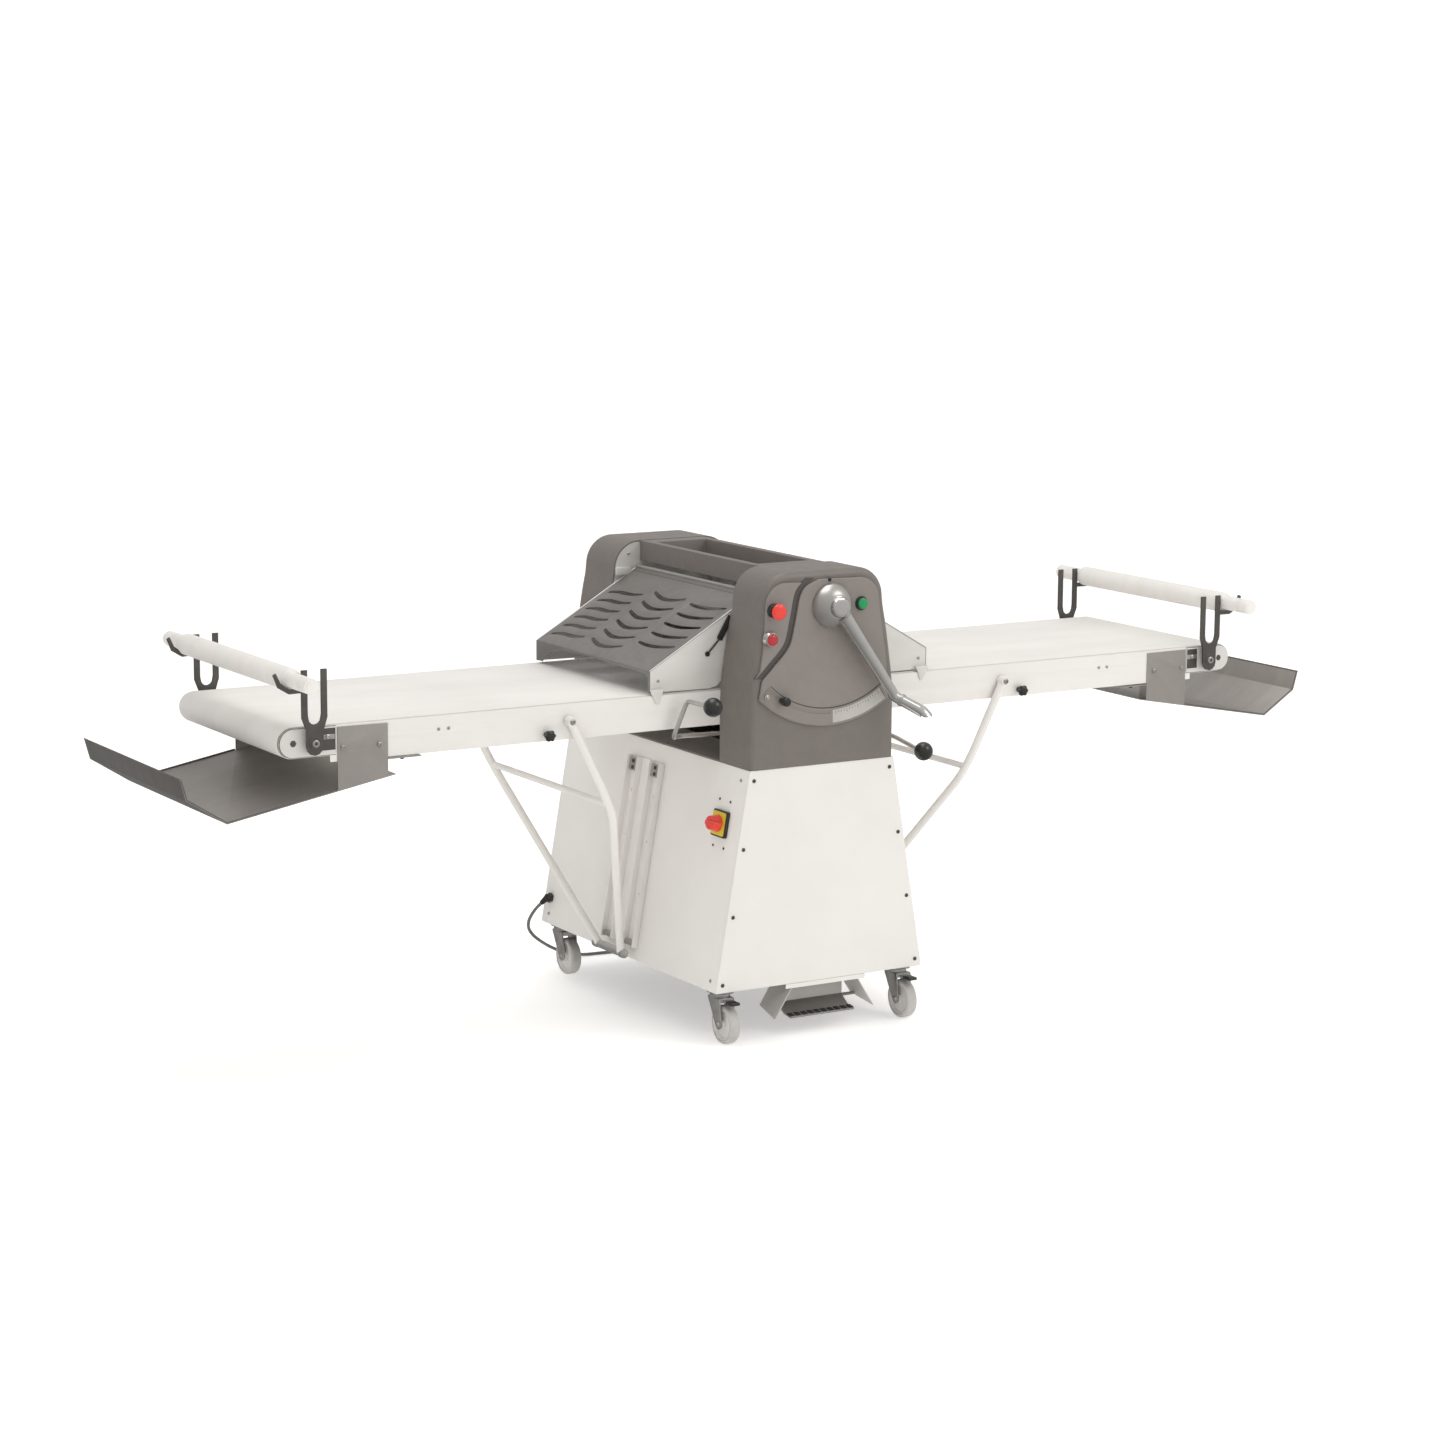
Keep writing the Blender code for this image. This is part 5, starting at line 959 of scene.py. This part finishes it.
def table(side, tag):
    body = f"{tag}_table"
    X = lambda x: side * x
    refine(f"{tag}_table_frame", "white", 0.0006)
    # belt with fine rounding round both rollers
    loop = lambda r: flip(arc(AXLE_X, AXLE_Z, r, -90, 90, 36) + arc(DRIVE_X, AXLE_Z, r, 90, 270, 36), side)
    prism(f"{tag}_belt_loop", [loop(0.0383), loop(0.0363)], "XZ", -0.302, 0.302, "belt", body, 0.0005, 2, f"{tag}_belt")
    for name, x, jr, je in ((f"{tag}_end_roller", AXLE_X, 0.006, 0.3120), (f"{tag}_drive_roller", DRIVE_X, 0.0125, 0.3093)):
        turned(name + "_tube", [(0, je), (jr, je), (jr, 0.300), (0.0345, 0.300), (0.0355, 0.299), (0.0355, -0.299), (0.0345, -0.300), (jr, -0.300), (jr, -je), (0, -je)],
               P(X(x), 0, AXLE_Z), (0, 1, 0), "steel", name, 56, name)
    # bolted end plates on the tongues: light metal stadium with a dark edge line, window, axle recess, tension screw
    for s, w in ((-1, "front"), (1, "rear")):
        win = [(1.2868, 0.8300), (1.3225, 0.8300), (1.3225, 0.8835), (1.2868, 0.8835)]
        outer = [(1.2850, AXLE_Z - 0.0358)] + arc(AXLE_X, AXLE_Z, 0.0358, -90, 90, 30) + [(1.2850, AXLE_Z + 0.0358)]
        face = [(1.2850, AXLE_Z - 0.0342)] + arc(AXLE_X, AXLE_Z, 0.0342, -90, 90, 30) + [(1.2850, AXLE_Z + 0.0342)]
        ya, yb = sorted((s * 0.3091, s * 0.3099))
        prism(f"{tag}_{w}_end_edge", [flip(outer, side)], "XZ", ya, yb, "dark", body, 0.0002, 1)
        ya, yb = sorted((s * 0.3098, s * 0.3118))
        prism(f"{tag}_{w}_end_plate", [flip(face, side), flip(win, side)], "XZ", ya, yb, "liner", body, 0.0004, 2)
        # belt tension block with its screw in the window
        block(f"{tag}_{w}_tension_block", (min(X(1.2880), X(1.3215)), min(s * 0.3096, s * 0.3108), 0.8560), (max(X(1.2880), X(1.3215)), max(s * 0.3096, s * 0.3108), 0.8680), "zinc", body, 0.0004, 2)
        # a flat dark hexagon paints the shade inside the axle's hex socket
        hexa = arc(AXLE_X, AXLE_Z, 0.0086, 0, 300, 5)
        prism(f"{tag}_{w}_axle_recess", [flip(hexa, side)], "XZ", *sorted((s * 0.3115, s * 0.3122)), "dark", body, 0.0002, 1)
        screws(f"{tag}_{w}_tension_screw", [(P(X(1.3060), s * 0.3108, 0.8620), (0, s, 0), 0.0066, 0.0030)], "polish", body)
        # fork: flat bar, its round foot and bolt
        refine(f"{tag}_{w}_fork", "dark", 0.0016, 3)
        fx = X(1.34925)
        turned(f"{tag}_{w}_fork_washer", [(0, 0.0020), (0.0150, 0.0020), (0.0162, 0.0012), (0.0162, 0), (0, 0)], P(fx, s * 0.3325, AXLE_Z), (0, s, 0), "dark", body, 40)
        turned(f"{tag}_{w}_fork_bolt", [(0, 0.0052), (0.0040, 0.0052), (0.0046, 0.0072), (0.0072, 0.0074), (0.0092, 0.0062), (0.0098, 0.0030), (0.0098, 0.0018), (0, 0.0018)],
               P(fx, s * 0.3325, AXLE_Z), (0, s, 0), "zinc", body, 36)
        turned(f"{tag}_{w}_fork_spacer", [(0, 0.0150), (0.0110, 0.0150), (0.0110, 0.0), (0, 0.0)], P(fx, s * 0.3112, AXLE_Z), (0, s, 0), "zinc", body, 32)
    # rolling pin with turned shoulders and end collars
    r, e = 0.0275, 0.0192
    prof = [(0, 0.4400), (0.0105, 0.4400), (0.0125, 0.4392), (0.0135, 0.4375), (0.0178, 0.4365), (e, 0.4340), (e, 0.3960), (0.0184, 0.3945), (0.0184, 0.3915), (e, 0.3900), (e, 0.3262), (0.0205, 0.3248),
            (0.0240, 0.3228), (0.0265, 0.3195), (r, 0.3155)]
    prof += [(rr, -h) for rr, h in prof[::-1]]
    turned(f"{tag}_pin_turned", prof, P(X(1.4035), 0, 1.0088), (0, 1, 0), "nylon", f"{tag}_rolling_pin", 64, f"{tag}_rolling_pin")
    # tray
    pan = refine(f"{tag}_tray", "tray", 0.0004)
    # faces that point outwards or downwards take the darker copy of the tray steel, as painted shade
    pan.data.materials.append(M["tray_painted_shade"])
    for p in pan.data.polygons:
        if p.normal.x * side > 0.45 or p.normal.z < -0.5:
            p.material_index = 1
    for s, w in ((-1, "front"), (1, "rear")):
        screws(f"{tag}_tray_{w}_screws", [(P(X(x), s * (SKIRT_Y + 0.0048), z), (0, s, 0), 0.0062, 0.0030) for x, z in ((1.268, 0.834), (1.172, 0.833))], "zinc", body)
        # the hems are in the darker tray copy: painted shade
        rod(f"{tag}_tray_{w}_hem", [(X(1.284), s * 0.3108, 0.7312), (X(1.568), s * 0.3108, 0.6790), (X(1.668), s * 0.3108, 0.7425), (X(1.682), s * 0.3108, 0.7905)], 0.0021, "tray_painted_shade", body, res=3)
        screws(f"{tag}_tray_{w}_lug_screw", [(P(X(1.105), s * 0.2965, 0.7938), (0, 0, -1), 0.0058, 0.0050)], "black", body)
    # the rim is in the darker tray copy: painted shade
    rod(f"{tag}_tray_rim", [(X(1.6838), y, 0.7925) for y in (-0.3118, 0, 0.3118)], 0.0020, "tray_painted_shade", body, res=4)
    # skirt fixings and the folded lower flange of the skirt
    screws(f"{tag}_skirt_screws", [(P(X(x), -SKIRT_Y, 0.8560), (0, -1, 0), 0.0042, 0.0020) for x in (0.985, 1.012)]
           + [(P(X(x), SKIRT_Y, 0.8560), (0, 1, 0), 0.0042, 0.0020) for x in (0.985, 1.012)], "zinc", body)
    for s, w in ((-1, "front"), (1, "rear")):
        block(f"{tag}_{w}_skirt_flange", (min(X(0.20), X(1.052)), min(s * 0.2985, s * 0.3080), 0.8001), (max(X(0.20), X(1.052)), max(s * 0.2985, s * 0.3080), 0.8022), "white", body, 0.0005)
    # support: bent tube legs, pivot bolts, brace and foot bar with caps
    sb = f"{tag}_support"
    fx = xs(0.158) + 0.034
    leg_y = SKIRT_Y + 0.0030 + 0.0105
    first = True
    for s, fy, w in ((-1, -0.021, "front"), (1, 0.095, "rear")):
        pts = [(X(0.656), s * leg_y, 0.847), (X(0.561), s * leg_y, 0.658), (X(0.530), s * 0.3120, 0.596), (X(fx), fy, 0.158)]
        rod(f"{tag}_{w}_leg", rounded_path(pts, 0.045, 8), 0.0105, "white", sb, f"{tag}_support" if first else (), 7)
        first = False
        turned(f"{tag}_{w}_leg_eye", [(0, 0.0135), (0.0105, 0.0135), (0.0125, 0.0115), (0.0125, -0.0105), (0.0110, -0.0120), (0, -0.0120)], P(X(0.656), s * leg_y, 0.847), (0, s, 0), "white", sb, 36)
        screws(f"{tag}_{w}_leg_bolt", [(P(X(0.656), s * (leg_y + 0.0133), 0.847), (0, s, 0), 0.0078, 0.0048)], "zinc", sb)
        turned(f"{tag}_{w}_foot_cap", [(0, 0.0235), (0.0080, 0.0235), (0.0118, 0.0215), (0.0124, 0.0180), (0.0124, 0.0060), (0, 0.0060)], P(X(fx), fy, 0.158), (0, s, 0), "zinc", sb, 32)
    rod(f"{tag}_brace", [(X(0.542), y, 0.624) for y in (-0.314, 0, 0.314)], 0.0085, "white", sb, res=6)
    rod(f"{tag}_foot_bar", [(X(fx), y, 0.158) for y in (-0.043, 0.04, 0.117)], 0.0108, "steel", sb, res=6)
    # star knob of the table clamp
    turned(f"{tag}_star_knob", [(0, 0.0300), (0.0070, 0.0300), (0.0110, 0.0285), (0.0134, 0.0255), (0.0138, 0.0210), (0.0132, 0.0160), (0.0100, 0.0130), (0.0072, 0.0105), (0.0070, 0.0003), (0, 0.0003)],
           P(X(0.717), -SKIRT_Y, 0.8165), FRONT, "black", f"{tag}_lock_knob", 60, f"{tag}_lock_knob", lobes=6, depth=0.09)


for side, tag in ((-1, "left"), (1, "right")):
    table(side, tag)
    guard(side, tag)

# ------------------------------------------------------------------ casters
for tag, x, y in (("front_left", -0.270, -0.408), ("front_right", 0.270, -0.408), ("rear_left", -0.270, 0.432), ("rear_right", 0.270, 0.432)):
    fb, wb, wy, top = f"{tag}_swivel", f"{tag}_wheel", y - 0.030, 0.1377
    refine(f"{tag}_caster_fork", "zinc", 0.0010)
    turned(f"{tag}_race", [(0.0245, 0.0050), (0.0262, 0.0040), (0.0268, 0.0), (0.0262, -0.0040), (0.0245, -0.0050), (0.0235, -0.0050), (0.0235, 0.0050), (0.0245, 0.0050)],
           P(x, y, top - 0.0155), (0, 0, 1), "steel", fb, 44)
    screws(f"{tag}_plate_bolts", [(P(x + dx, y + dy, top - 0.0098), (0, 0, -1), 0.0032, 0.0028) for dx in (-0.0215, 0.0215) for dy in (-0.0215, 0.0215)], "zinc", fb)
    screws(f"{tag}_axle_bolts", [(P(x + s * 0.0225, wy, 0.050), (s, 0, 0), 0.0085, 0.0052) for s in (-1, 1)], "steel", fb)
    hw = 0.015
    tread = [(0.0415, hw), (0.0450, hw), (0.0478, hw - 0.0015), (0.0496, hw - 0.0045), (0.0500, hw - 0.0085), (0.0500, -hw + 0.0085), (0.0496, -hw + 0.0045), (0.0478, -hw + 0.0015), (0.0450, -hw), (0.0415, -hw),
             (0.0405, -hw + 0.002), (0.0405, hw - 0.002), (0.0415, hw)]
    turned(f"{tag}_tread", tread, P(x, wy, 0.050), (1, 0, 0), "tread", wb, 72, f"{tag}_wheel")
    hub = [(0.0056, hw + 0.0015), (0.0110, hw + 0.0015), (0.0125, hw), (0.0135, hw - 0.0060), (0.0330, hw - 0.0065), (0.0375, hw - 0.0025), (0.0404, hw - 0.0015), (0.0404, -hw + 0.0015), (0.0375, -hw + 0.0025),
           (0.0330, -hw + 0.0065), (0.0135, -hw + 0.0060), (0.0125, -hw), (0.0110, -hw - 0.0015), (0.0056, -hw - 0.0015), (0.0056, hw + 0.0015)]
    turned(f"{tag}_hub", hub, P(x, wy, 0.050), (1, 0, 0), "hub", wb, 56)
    if "front" in tag:
        block(f"{tag}_brake_tab", (x - 0.0128, y - 0.0795, top - 0.0300), (x + 0.0128, y - 0.0480, top - 0.0225), "black", fb, 0.0022, 3)
refine("cable_gland", "black", 0.0005)
